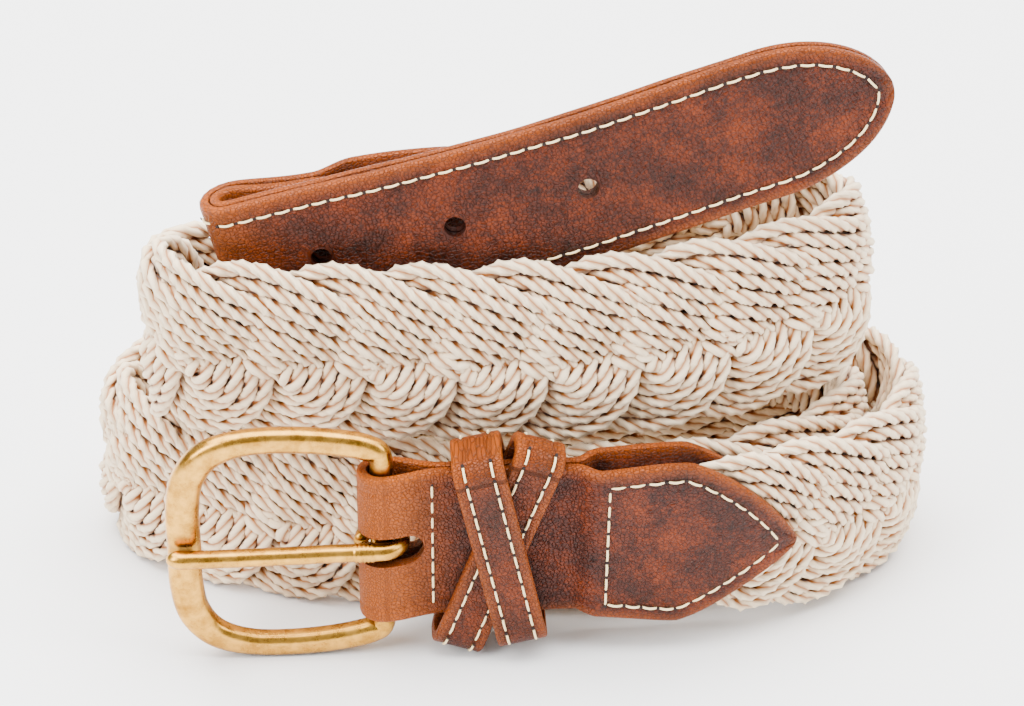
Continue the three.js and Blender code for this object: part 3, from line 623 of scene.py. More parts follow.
def sectionColumns():  # round a strip's section: side, distance in from the edge or share, height
    half, outer, inner = leather["thick"] / 2, leather["outerCorner"], leather["innerCorner"]
    sides = leather["seamSides"]
    face = [(1, d, 0, half - depth) for d, depth in zip(sides, leather["seamDepths"])]
    corner = [(1, outer * (1 - math.cos(a)), 0, half - outer * (1 - math.sin(a)))
              for a in np.radians([90, 60, 30, 0])]
    corner += [(1, inner * (1 - math.cos(a)), 0, -half + inner * (1 - math.sin(a)))
               for a in np.radians([0, 40, 90])]
    otherCorner = [(-side, d, share, height) for side, d, share, height in reversed(corner)]
    middle = [(1, sides[-1], share, half) for share in (-0.6, -0.2, 0.2, 0.6)]
    belly = [(1, inner, share, -half) for share in (0.75, 0.45, 0.15, -0.15, -0.45, -0.75)]
    ring = [(-1, d, share, h) for _, d, share, h in face]
    ring += middle + face[::-1] + corner + belly + otherCorner
    return [np.array(column, float) for column in zip(*ring)]


def stripMesh(name, seat, half, fromEnd, rubbed, closed=False):
    # seat(across, height) gives the place; half, fromEnd and rubbed are arrays along the rings
    side, inset, share, height = sectionColumns()
    rings = len(half)
    slant = np.hypot(1, np.gradient(half) / leather["ringStep"]) if not closed else np.ones(rings)
    squeeze = np.minimum(1, half / leather["fullGridWidth"]) * np.minimum(slant, leather["mostSlant"])
    squeeze = np.minimum(squeeze, leather["mostSqueeze"] * half / leather["seamSides"][-1])[:, None]
    across = np.where(share == 0, side, share) * (half[:, None] - inset * squeeze)
    rounding = np.sqrt(1 - (1 - np.clip(fromEnd / leather["endRounding"], 0.02, 1)) ** 2)[:, None]
    mesh = ringMesh(name, seat(across, height * rounding), closed)
    runs = np.broadcast_to(np.cumsum(np.full(rings, leather["ringStep"]))[:, None], across.shape)
    space = np.stack([runs, across, np.broadcast_to(height, across.shape)], -1).reshape(-1, 3) * mm
    distance = np.minimum(half[:, None] - np.abs(across), fromEnd[:, None]).ravel()
    paint = (space, distance, np.broadcast_to(rubbed[:, None], across.shape).ravel())
    paintLeather(mesh, *paint)
    return mesh, paint


def ringMesh(name, places, closed):  # joins each ring of points to the next, or caps both ends
    rings, columns = places.shape[:2]
    index = np.arange(rings * columns).reshape(rings, columns)
    turned = np.roll(index, -1, axis=1)
    stack = [index, turned, np.roll(turned, -1, axis=0), np.roll(index, -1, axis=0)]
    faces = np.stack([part if closed else part[:-1] for part in stack], -1).reshape(-1, 4).tolist()
    if not closed:
        faces += [index[0][::-1].tolist(), index[-1].tolist()]
    mesh = bpy.data.meshes.new(name)
    mesh.from_pydata((places.reshape(-1, 3) * mm).tolist(), [], faces)
    lookOutwards(mesh)
    return mesh


def lookOutwards(mesh):
    solid = bmesh.new()
    solid.from_mesh(mesh)
    bmesh.ops.recalc_face_normals(solid, faces=solid.faces)
    solid.to_mesh(mesh)
    solid.free()


def paintLeather(mesh, space, distance, rubbed):
    setAttribute(mesh, "leatherSpace", space)
    setAttribute(mesh, "edgeDistance", distance)
    setAttribute(mesh, "rubbed", rubbed)


def meshPoints(mesh):
    points = np.empty(len(mesh.vertices) * 3, np.float32)
    mesh.vertices.foreach_get("co", points)
    return points.reshape(-1, 3)


def finishLeather(name, mesh, paint, cutters):  # after cutting, each point is painted like its nearest
    piece = addObject(name, mesh)
    if cutters:
        nearest = KDTree(len(mesh.vertices))
        for i, point in enumerate(meshPoints(mesh)):
            nearest.insert(point, i)
        nearest.balance()
        for cutter in cutters:
            modifier = piece.modifiers.new("hole", "BOOLEAN")
            modifier.operation = "DIFFERENCE"
            modifier.solver = "EXACT"
            modifier.object = cutter
        bpy.context.view_layer.update()
        evaluated = piece.evaluated_get(bpy.context.evaluated_depsgraph_get())
        cut = bpy.data.meshes.new_from_object(evaluated)
        lookOutwards(cut)
        piece.modifiers.clear()
        piece.data = cut
        for key in ("leatherSpace", "edgeDistance", "rubbed"):
            if key in cut.attributes:
                cut.attributes.remove(cut.attributes[key])
        found = [nearest.find(point)[1] for point in meshPoints(cut)]
        paintLeather(cut, paint[0][found], paint[1][found], paint[2][found])
        for cutter in cutters:
            bpy.data.objects.remove(cutter)
        mesh = cut
    mesh.materials.clear()
    mesh.materials.append(leatherSkin)
    mesh.shade_smooth()
    mesh.set_sharp_from_angle(angle=math.radians(leather["creaseAngle"]))
    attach(piece, "belt")
    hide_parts(name)
    return piece


def prism(bottom, top):  # closed cutter between two copies of an outline
    count = len(bottom)
    mesh = bpy.data.meshes.new("cutter")
    faces = [[(i + 1) % count, i, i + count, (i + 1) % count + count] for i in range(count)]
    faces += [list(range(count)), list(range(2 * count - 1, count - 1, -1))]
    mesh.from_pydata((np.concatenate([bottom, top]) * mm).tolist(), [], faces)
    lookOutwards(mesh)
    cutter = addObject("cutter", mesh)
    cutter.hide_render = True
    return cutter


def ringSteps(start, end):  # stations a ring step apart, closer towards both ends
    plain = np.linspace(start, end, int(round((end - start) / leather["ringStep"])) + 1)
    extra = np.array(leather["endSteps"])
    return np.unique(np.concatenate([plain, start + extra, end - extra]))


def wavy(station, up, seed):  # leather never lies quite flat
    longAlong, longAcross = leather["waveLengths"]
    shortAlong, shortAcross = leather["rippleLengths"]
    waves = np.sin(station / longAlong + seed) * np.cos(up / longAcross + 2 * seed)
    ripples = np.sin(station / shortAlong + up / shortAcross + 3 * seed)
    return leather["wave"] * (waves + leather["ripple"] * ripples)


def endShape(x, curve):  # share of the half width, from the end's point (0) to where it is full (1)
    return (1 - (1 - np.clip(x, 0.0004, 1)) ** curve[0]) ** (1 / curve[1])


# Tip strap: two layers sewn together all round, punched with five holes
tip = {
    "width": 29.0,
    "shoulderWidth": 33.0,
    "pointLength": 25.0,
    "narrowing": 14.0,
    "ramp": 8.0,
    "endLength": 24.0,
    "firstHole": 59.0,
    "holeSpacing": 25.4,
    "holes": 5,
    "cutReach": (-0.6, 4.2),  # of a punched hole, from the belt's middle outwards
    "foldRub": 0.55,
    "foldRubReach": 9,
}
holeStations = [tipEnd - tip["firstHole"] - i * tip["holeSpacing"] for i in range(tip["holes"])]


def tipHalf(station):
    fromPoint, fromEnd = station - tipStart, tipEnd - station
    shoulder = tip["shoulderWidth"] / 2
    narrowed = smooth(tip["pointLength"], tip["pointLength"] + tip["narrowing"], fromPoint)
    plain = shoulder + (tip["width"] / 2 - shoulder) * narrowed
    pointed = shoulder * endShape(fromPoint / tip["pointLength"], leather["pointCurve"])
    ended = tip["width"] / 2 * endShape(fromEnd / tip["endLength"], leather["endCurve"])
    return np.minimum(np.where(fromPoint < tip["pointLength"], pointed, plain), ended)


def tipOut(station):  # from the belt's middle to the middle of one layer
    pocketEnd = tipStart + belt["tipPocketDepth"]
    ease, ramp = leather["rampEase"], tip["ramp"]
    pocket = braidPocket(station) * (1 - smooth(pocketEnd + ease, pocketEnd + ease + ramp, station))
    return np.maximum(pocket, leather["layerGap"] / 2) + leather["thick"] / 2


def dimples(station, up):
    away = [np.hypot(station - hole, up) / leather["dimpleReach"] for hole in holeStations]
    return leather["dimple"] * sum(np.exp(-(a ** 2) / leather["dimpleSoftness"]) for a in away)


def makeTipLayer(name, face):
    stations = ringSteps(tipStart + 0.02, tipEnd - 0.01)

    def seat(across, height):
        station = np.broadcast_to(stations[:, None], across.shape)
        sunk = np.where(height > 0, dimples(station, across), 0)
        out = tipOut(station) + height - sunk + wavy(station, across, 1.0)
        return onBelt(station, face * out, across)

    fromEnd = np.minimum(stations - tipStart, tipEnd - stations)
    rubbed = tip["foldRub"] * np.exp(-((stations - foldStation) / tip["foldRubReach"]) ** 2)
    mesh, paint = stripMesh(name, seat, tipHalf(stations), fromEnd, rubbed)
    turn = np.linspace(0, 2 * math.pi, 32, endpoint=False)
    ringAlong, ringUp = leather["holeDiameter"] / 2 * np.array([np.cos(turn), np.sin(turn)])
    cutters = [prism(*(onBelt(hole + ringAlong, face * out, ringUp) for out in tip["cutReach"]))
               for hole in holeStations]
    return finishLeather(name, mesh, paint, cutters)


tipPieces = [makeTipLayer("tip_outer", 1), makeTipLayer("tip_backing", -1)]
print("tip strap made:", sum(len(p.data.polygons) for p in tipPieces), "faces")

# Chape: one strip from its point on the inside, round the heel bar, to its point on the outside
chape = {
    "width": 33.0,
    "shoulderWidth": 36.0,
    "pointLength": 21.5,
    "flare": 19.0,
    "barTaper": 11.0,
    "ramp": 4.5,
    "barDiameter": 4.4,
    "clearance": 0.3,
    "slotHeight": 6.5,
    "slotReach": 7.8,  # of the prong's slot from the bar along the strap
    "slotStart": -9,
    "slotCut": 12,
    "barRub": 0.95,
    "barRubReach": 8.5,
    "turnStep": 8,  # degrees
    "calmRamp": (3, 12),  # between these distances from the bar the leather begins to wave
}


def chapeHalf(along):
    fromPoint = belt["chapeLength"] - along
    shoulder = chape["shoulderWidth"] / 2
    rise = 1 - smooth(chape["pointLength"], chape["pointLength"] + chape["flare"], fromPoint)
    plain = chape["width"] / 2 + (shoulder - chape["width"] / 2) * rise
    return np.minimum(plain, shoulder * endShape(fromPoint / chape["pointLength"], leather["pointCurve"]))


def chapeOut(along):
    grip = chape["barDiameter"] / 2 + chape["clearance"]
    byBar = grip + (leather["layerGap"] / 2 - grip) * smooth(0, chape["barTaper"], along)
    start = belt["chapeLength"] - belt["chapePocketDepth"] - leather["rampEase"]
    parting = smooth(start - chape["ramp"], start, along)
    return np.maximum(byBar, braidPocket(barStation + along) * parting) + leather["thick"] / 2


def makeChape():
    runs = ringSteps(0.3, belt["chapeLength"] - 0.02)
    radius = chape["barDiameter"] / 2 + chape["clearance"] + leather["thick"] / 2
    turn = np.radians(np.arange(6, 180, chape["turnStep"]))
    station = barStation + np.concatenate([runs[::-1], -radius * np.sin(turn), runs])
    out = np.concatenate([-chapeOut(runs)[::-1], -radius * np.cos(turn), chapeOut(runs)])
    along = np.concatenate([runs[::-1], np.zeros(len(turn)), runs])
    travelled = travel(np.stack([station, out], -1))
    normal = np.stack([-np.gradient(out, travelled), np.gradient(station, travelled)], -1)
    normal /= np.linalg.norm(normal, axis=1, keepdims=True)

    def seat(across, height):
        calm = smooth(*chape["calmRamp"], along)[:, None]
        height = height + wavy(travelled[:, None], across, 2.0) * calm
        place, outwards = station[:, None] + normal[:, :1] * height, out[:, None] + normal[:, 1:] * height
        return onBelt(place, outwards, across)

    rubbed = chape["barRub"] * np.exp(-((along / chape["barRubReach"]) ** 2))
    mesh, paint = stripMesh("chape", seat, chapeHalf(along), belt["chapeLength"] - along, rubbed)
    slotHalf = chape["slotHeight"] / 2
    arc = np.radians(np.linspace(-90, 90, 15))
    slotEnd = chape["slotReach"] - slotHalf
    slotAlong = np.concatenate([slotEnd + slotHalf * np.cos(arc), [chape["slotStart"]] * 2]) + barStation
    slotUp = np.concatenate([slotHalf * np.sin(arc), [slotHalf, -slotHalf]])
    rings = [onBelt(slotAlong, out, slotUp) for out in (-chape["slotCut"], chape["slotCut"])]
    finishLeather("chape", mesh, paint, [prism(*rings)])


makeChape()

# Keepers: two stitched loops that lean across each other
keeper = {
    "width": 9.6,
    "thick": 2.0,
    "topGap": 1.0,
    "bend": 1.6,
    "plainRub": 0.06,
    "topRub": 0.3,
    "topRubReach": 4,
    "waveShare": 0.5,
}
keeperLoops = {
    "keeper_under": {"along": 21.6, "tilt": -20, "layersInside": 0, "lift": 0},
    "keeper_over": {"along": 22, "tilt": 12, "layersInside": 1, "lift": 3},
}


def keeperPath(loop):  # the loop's own line: out, up, and the way it faces
    tilt = math.radians(loop["tilt"])
    floorGap = float(onBelt(barStation + loop["along"], 0, 0)[2])
    chapeThick = 2 * leather["thick"] + leather["layerGap"]
    perLayer = keeper["thick"] + chape["clearance"]
    innerHalf = chapeThick / 2 + chape["clearance"] + loop["layersInside"] * perLayer
    innerTall = ((floorGap + chape["width"] / 2 + keeper["topGap"] - loop["lift"]) / math.cos(tilt)
                 - keeper["thick"]) / 2
    cornerDrop = keeper["width"] / 2 * abs(math.sin(tilt))
    stand = loop["lift"] + (innerTall + keeper["thick"]) * math.cos(tilt) + cornerDrop - floorGap
    bend = keeper["bend"] + keeper["thick"] / 2
    straight = 2 * (innerTall - keeper["bend"])
    points, facing = [], []
    steps = int(round(straight / leather["ringStep"]))
    for corner, (out, up) in enumerate(((1, 1), (-1, 1), (-1, -1), (1, -1))):
        middle = np.array([out * (innerHalf - keeper["bend"]), up * (innerTall - keeper["bend"])])
        for angle in np.radians(np.linspace(90 * corner, 90 * corner + 90, 8)):
            facing.append([math.cos(angle), math.sin(angle)])
            points.append(middle + bend * np.array(facing[-1]))
        if corner in (1, 3):
            for step in range(1, steps):
                points.append(middle + np.array([bend * out, -up * straight * step / steps]))
                facing.append([out, 0])
    return np.array(points), np.array(facing, float), tilt, stand


def onKeeper(loop, along, out, up, tilt, stand):
    return onBelt(barStation + loop["along"] + along * math.cos(tilt) - up * math.sin(tilt), out,
                  along * math.sin(tilt) + up * math.cos(tilt) + stand)


def makeKeeper(name, loop):
    points, facing, tilt, stand = keeperPath(loop)

    def seat(across, height):
        height = height + keeper["waveShare"] * wavy(np.arange(len(points))[:, None], across, 3.0)
        return onKeeper(loop, across, points[:, :1] + facing[:, :1] * height,
                        points[:, 1:] + facing[:, 1:] * height, tilt, stand)

    fromTop = keeper["topGap"] + points[:, 1].max() - points[:, 1]
    rubbed = keeper["plainRub"] + keeper["topRub"] * np.exp(-(fromTop / keeper["topRubReach"]) ** 2)
    half, fromEnd = np.full(len(points), keeper["width"] / 2), np.full(len(points), keeper["width"])
    mesh, paint = stripMesh(name, seat, half, fromEnd, rubbed, closed=True)
    finishLeather(name, mesh, paint, [])


for name, loop in keeperLoops.items():
    makeKeeper(name, loop)
print("chape and keepers made")

# Waxed linen thread, and dark dots of painted shade for the needle holes between the stitches
thread = plainMaterial("waxed cream linen thread", "#FFE3AC", 0.55)  # pale and faintly glossy
holeShade = plainMaterial("painted shade in a needle hole", "#1C0A05", 0.9)  # painted shade of a needle hole: a dark dot between stitches

seam = {
    "pitch": 3.45,
    "threadLength": 2.75,
    "threadThickness": 0.46,
    "bulge": 0.34,
    "pitRadius": 0.42,
    "sink": 0.06,  # of the thread into the leather
    "leastFacing": 0.3,  # no stitch is set where a keeper bends away further than this
    "keeperInset": 2.2,
    "pocketSeam": 42.0,  # the chape's seam that closes the rope's pocket, from the heel bar
    "barSeam": 9.4,  # the seam beside the bar
    "barSeamInset": 2.6,
    "headingReach": 0.6,  # half the length of seam that gives a stitch its heading
    "lineStep": 0.5,
    "fineStep": 0.04,  # round the point of a strap, over its last fineLength
    "fineLength": 2,
}


def insetOutline(stations, half, inset):  # the upper half of an outline, moved inwards by an inset
    station, up = np.asarray(stations, float), half(np.asarray(stations, float))
    ds, du = np.gradient(station), np.gradient(up)
    length = np.hypot(ds, du)
    moved = np.stack([station + inset * du / length, up - inset * ds / length], -1)
    edge = np.stack([station, up], -1)
    away = np.sqrt(((moved[:, None, :] - edge[None, :, :]) ** 2).sum(-1)).min(1)
    return moved[(away > inset - 0.03) & (moved[:, 1] > 0.2)]


def evenly(line, pitch, closed):  # both sides of the middle of each whole stitch along a line
    line = np.asarray(line, float)
    if closed:
        line = np.concatenate([line, line[:1]])
    travelled = travel(line)
    count = max(1, int(round(travelled[-1] / pitch)))
    middle = (np.arange(count) + 0.5) * travelled[-1] / count
    return [np.stack([np.interp(middle + away, travelled, line[:, k]) for k in (0, 1)], -1)
            for away in (-seam["headingReach"], seam["headingReach"])]


def seamOn(line, surface, closed=False):  # place, heading and facing of every stitch
    before, after = evenly(line, seam["pitch"], closed)
    middle = (before + after) / 2
    place = surface(middle, 0)
    return place, surface(after, 0) - surface(before, 0), surface(middle, 1) - place


def tipSurface(face):
    def surface(place, lift):
        station, up = place.T
        out = tipOut(station) + leather["thick"] / 2 - seam["sink"] + wavy(station, up, 1.0) + lift
        return onBelt(station, face * out, up)
    return surface


def chapeSurface(face):
    def surface(place, lift):
        along, up = place.T
        out = chapeOut(along) + leather["thick"] / 2 - seam["sink"] + lift
        return onBelt(barStation + along, face * out, up)
    return surface


def keeperSurface(loop):  # and the length once round it
    points, facing, tilt, stand = keeperPath(loop)
    points, facing = (np.concatenate([rows, rows[:1]]) for rows in (points, facing))
    travelled = travel(points)

    def surface(place, lift):
        around, inset = place.T
        at, way = ([np.interp(around, travelled, rows[:, k]) for k in (0, 1)]
                   for rows in (points, facing))
        height = keeper["thick"] / 2 - seam["sink"] + lift
        return onKeeper(loop, inset, at[0] + way[0] * height, at[1] + way[1] * height, tilt, stand)
    return surface, travelled[-1]


def outlineSteps(start, end):
    fine = end - seam["fineLength"]
    return np.concatenate([np.arange(start, fine, seam["lineStep"]),
                           np.arange(fine, end - 0.01, seam["fineStep"])])


tipLine = insetOutline(outlineSteps(tipStart + 0.05, tipEnd), tipHalf, leather["seamInset"])
tipOutline = np.concatenate([tipLine * [1, -1], tipLine[::-1]])
pocketSeam = seam["pocketSeam"]
chapeLine = insetOutline(outlineSteps(pocketSeam - leather["seamInset"], belt["chapeLength"]),
                         chapeHalf, leather["seamInset"])
chapeLine = chapeLine[chapeLine[:, 0] >= pocketSeam]
pocketCorner = [[pocketSeam, chapeLine[0, 1]]]
chapeHalfLine = np.concatenate([pocketCorner, chapeLine])
chapeOutline = np.concatenate([chapeHalfLine[::-1], chapeHalfLine * [1, -1]])
barReach = chape["width"] / 2 - seam["barSeamInset"]
barLine = np.array([[seam["barSeam"], -barReach], [seam["barSeam"], barReach]])
seams = []
for face in (1, -1):
    seams.append(seamOn(tipOutline, tipSurface(face), closed=True))
    seams.append(seamOn(chapeOutline, chapeSurface(face), closed=True))
    seams.append(seamOn(barLine, chapeSurface(face)))
for loop in keeperLoops.values():
    surface, roundLength = keeperSurface(loop)
    outward = beltFrame(barStation + loop["along"])[0]
    for side in (-1, 1):
        inset = side * (keeper["width"] / 2 - seam["keeperInset"])
        stitches = seamOn([[0, inset], [roundLength, inset]], surface)
        flat = np.abs(unit(stitches[2]) @ outward) > seam["leastFacing"]
        seams.append([part[flat] for part in stitches])
stitchPlaces, stitchHeadings, stitchFacings = (np.concatenate(parts) for parts in zip(*seams))


# Geometry Nodes: sets one thread, or one dark dot of painted needle-hole shade, at every stitch, turned
# along the seam
def seamTree(name, pits):
    tree, sockets, given, result = newTree(name, (
        ("Length", "NodeSocketFloat"), ("Thickness", "NodeSocketFloat"),
        ("Bulge", "NodeSocketFloat"), ("Material", "NodeSocketMaterial")))
    pitShape, threadSink = (1.0, 0.8, 0.3), -0.9  # the sink is a share of the thread's radius
    halfLength = addMath(tree, "DIVIDE", given["Length"], 2.0)
    radius = addMath(tree, "DIVIDE", given["Thickness"], 2.0)
    if pits:
        ball = addNode(tree, "GeometryNodeMeshUVSphere", values={"Segments": 10, "Rings": 6},
                       links={"Radius": radius}).outputs["Mesh"]
        place = addNode(tree, "ShaderNodeCombineXYZ", links={"X": halfLength}).outputs["Vector"]
        shape = addNode(tree, "GeometryNodeTransform", values={"Scale": pitShape},
                        links={"Geometry": ball, "Translation": place}).outputs["Geometry"]
    else:
        backwards = addMath(tree, "MULTIPLY", halfLength, -1.0)
        sunk = addMath(tree, "MULTIPLY", radius, threadSink)
        height = addMath(tree, "MULTIPLY", given["Bulge"], 2.0)
        start = addNode(tree, "ShaderNodeCombineXYZ", links={"X": backwards, "Z": sunk}).outputs["Vector"]
        end = addNode(tree, "ShaderNodeCombineXYZ", links={"X": halfLength, "Z": sunk}).outputs["Vector"]
        middle = addNode(tree, "ShaderNodeCombineXYZ", links={"Z": height}).outputs["Vector"]
        line = addNode(tree, "GeometryNodeCurveQuadraticBezier", values={"Resolution": 7},
                       links={"Start": start, "Middle": middle, "End": end}).outputs["Curve"]
        section = addNode(tree, "GeometryNodeCurvePrimitiveCircle", values={"Resolution": 8},
                          links={"Radius": radius}).outputs["Curve"]
        shape = addNode(tree, "GeometryNodeCurveToMesh", values={"Fill Caps": True},
                        links={"Curve": line, "Profile Curve": section}).outputs["Mesh"]
    facing, heading = (addNode(tree, "GeometryNodeInputNamedAttribute", {"data_type": "FLOAT_VECTOR"},
                               {"Name": key}).outputs["Attribute"] for key in ("facing", "heading"))
    turned = addNode(tree, "FunctionNodeAxesToRotation", {"primary_axis": "Z", "secondary_axis": "X"},
                     links={"Primary Axis": facing, "Secondary Axis": heading}).outputs["Rotation"]
    stitches = addNode(tree, "GeometryNodeInstanceOnPoints", links={
        "Points": given["Geometry"], "Instance": shape, "Rotation": turned}).outputs["Instances"]
    finishTree(tree, stitches, given["Material"], result)
    return tree, sockets


def sewn(name, pits, values):
    mesh = bpy.data.meshes.new("stitch places")
    mesh.from_pydata((stitchPlaces * mm).tolist(), [], [])
    setAttribute(mesh, "heading", unit(stitchHeadings))
    setAttribute(mesh, "facing", unit(stitchFacings))
    piece = throughNodes(mesh, *seamTree(name, pits), values, name)
    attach(piece, "belt")


sewn("stitches", False, {
    "Length": seam["threadLength"] * mm, "Thickness": seam["threadThickness"] * mm,
    "Bulge": seam["bulge"] * mm, "Material": thread})
sewn("needle_holes", True, {
    "Length": seam["pitch"] * mm, "Thickness": 2 * seam["pitRadius"] * mm, "Bulge": 0.0,
    "Material": holeShade})
print("seams sewn:", len(stitchPlaces), "stitches")


# Satin brass: polished, then softened by wear, so the studio shows in it as broad mottled bands
def brassMaterial():
    look = {
        "bright": "#DDA443", "dull": "#9A6A1E", "shaded": "#5A3C12",
        "mottleSize": 3.0, "fineSize": 0.5, "fineDepth": 0.05, "shadeReach": 3.0,
    }
    material, tree, shader = newMaterial("satin cast brass", 0.25)
    place = addNode(tree, "ShaderNodeTexCoord").outputs["Object"]
    mottle = addNoise(tree, place, 1 / (look["mottleSize"] * mm), 5.0, 0.62)
    fine = addNoise(tree, place, 1 / (look["fineSize"] * mm), 2.0)
    colour = addRamp(tree, mottle, [(0.3, look["dull"]), (0.62, look["bright"])])
    # painted shade: darker brown in tight corners where other parts lie close
    shut = addMath(tree, "POWER", shutIn(tree, look["shadeReach"]), 1.5)
    colour = addMix(tree, shut, colour, hexColour(look["shaded"]))
    dress(tree, shader, colour, fine, 0.16, look["fineDepth"])
    roughness = addMath(tree, "MULTIPLY_ADD", mottle, 0.22, 0.17)
    tree.links.new(roughness, shader.inputs["Roughness"])
    shader.inputs["Metallic"].default_value = 1.0
    return material


brass = brassMaterial()

buckle = {
    "height": 52.0,
    "reach": 40.2,
    "frontBarWide": 6.4,
    "frontBarDeep": 4.6,
    "armWide": 5.0,
    "armDeep": 4.2,
    "sides": 28,
    "steps": 300,
    "flatness": 2.5,  # 2 is an ellipse; more gives broader faces
    "ridge": 0.16,  # height of the cast line round the inside of the face
    "ridgeAt": 0.34,  # as a share of half the width, towards the opening
    "ridgeWidth": 0.1,
    "saddleWidth": 2.6,  # of the worn seat where the prong rests
    "saddleDepth": 0.32,
    "rodReach": 0.05,  # share of the reach in which the frame passes over to the plain round heel bar
    "prongDiameter": 3.5,
    "prongRing": 2.8,
    "collarAt": 3.4,  # from the heel bar
    "collarHeight": 0.3,
    "collarHalf": 1.9,
    "collarTurns": 4.2,  # radians per mm, which makes three beads
    "prongSides": 24,
    "prongNose": 1.9,  # length over which the prong's end is rounded
    "noseSteps": (0.0, 0.004, 0.01, 0.02, 0.032, 0.045),  # shares of the rod's length
    "rodStep": 0.008,
    "curlEnd": 280,  # degrees round the heel bar
    "curlStep": 6,
    "curlBlend": 40,
}


def buckleShape():  # middle line as shares of reach and half height, with width and depth there
    wide, deep, arm, armDeep, bar = (buckle["frontBarWide"], buckle["frontBarDeep"], buckle["armWide"],
                                     buckle["armDeep"], chape["barDiameter"])
    upper = [
        (1, 0, wide, deep), (1, 0.36, wide, deep), (0.965, 0.66, wide * 0.97, deep),
        (0.86, 0.88, (wide + arm) / 2, (deep + armDeep) / 2), (0.68, 0.985, arm, armDeep),
        (0.45, 1, arm, armDeep), (0.23, 0.965, arm, armDeep), (0.07, 0.905, arm, armDeep),
        (0, 0.82, bar, bar), (0, 0.5, bar, bar),
    ]
    return np.array(upper + [(r, -h, w, d) for r, h, w, d in upper[:0:-1]])


def throughRows(rows, steps):  # closed smooth curve through all rows
    place = np.linspace(0, len(rows), steps, endpoint=False)
    row, u = np.floor(place).astype(int), (place % 1)[:, None]
    a, b, c, d = (rows[(row + k) % len(rows)] for k in (-1, 0, 1, 2))
    square, cube = 2 * a - 5 * b + 4 * c - d, 3 * b - a - 3 * c + d
    return 0.5 * (2 * b + (c - a) * u + square * u * u + cube * u ** 3)


barMiddle = onBelt(barStation, 0.0, 0.0)
alongBar = unit((onBelt(barStation + 1, 0, 0) - onBelt(barStation - 1, 0, 0)) * [1, 1, 0])
outOfBar = np.array([alongBar[1], -alongBar[0], 0])
frontReach = buckle["reach"] - buckle["frontBarWide"] / 2


def fromBar(x, y, z):
    up = np.array([0, 0, 1.0])
    base = np.array([barMiddle[0], barMiddle[1], buckle["height"] / 2])
    return base + x[..., None] * alongBar + y[..., None] * outOfBar + z[..., None] * up


def castPiece(name, places, closed):
    mesh = ringMesh(name, places, closed)
    mesh.materials.append(brass)
    mesh.shade_smooth()
    piece = addObject(name, mesh)
    return piece


def makeBuckle():
    rows = throughRows(buckleShape(), buckle["steps"])
    rise = (buckle["height"] - buckle["armWide"]) / 2
    line = np.stack([-rows[:, 0] * frontReach, rows[:, 1] * rise], -1)
    tangent = unit(np.roll(line, -1, axis=0) - np.roll(line, 1, axis=0))
    side = np.stack([tangent[:, 1], -tangent[:, 0]], -1)
    turn = 2 * math.pi * (np.arange(buckle["sides"]) + 0.5) / buckle["sides"]
    power = 2 / buckle["flatness"]
    across = np.sign(np.cos(turn)) * np.abs(np.cos(turn)) ** power
    face = np.sign(np.sin(turn)) * np.abs(np.sin(turn)) ** power
    rodShare = np.exp(-((rows[:, 0] / buckle["rodReach"]) ** 2))[:, None]
    across = across + (np.cos(turn) - across) * rodShare
    face = face + (np.sin(turn) - face) * rodShare
    inward = np.sign((line * side).sum(1) - (line.mean(0) * side).sum(1))[:, None]
    fromRidge = (across * inward + buckle["ridgeAt"]) / buckle["ridgeWidth"]
    ridge = buckle["ridge"] * np.exp(-(fromRidge ** 2)) * (face > 0.5) * (1 - rodShare)
    x = line[:, :1] + side[:, :1] * across * rows[:, 2:3] / 2
    z = line[:, 1:] + side[:, 1:] * across * rows[:, 2:3] / 2
    y = face * rows[:, 3:4] / 2 + ridge
    saddle = (rows[:, 0] > 0.9)[:, None] * np.exp(-((z / (buckle["saddleWidth"] / 2)) ** 4)) * (face > 0)
    y = y - buckle["saddleDepth"] * saddle
    piece = castPiece("buckle_frame", fromBar(x, y, z), True)
    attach(piece, "buckle")
    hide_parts("buckle_frame")


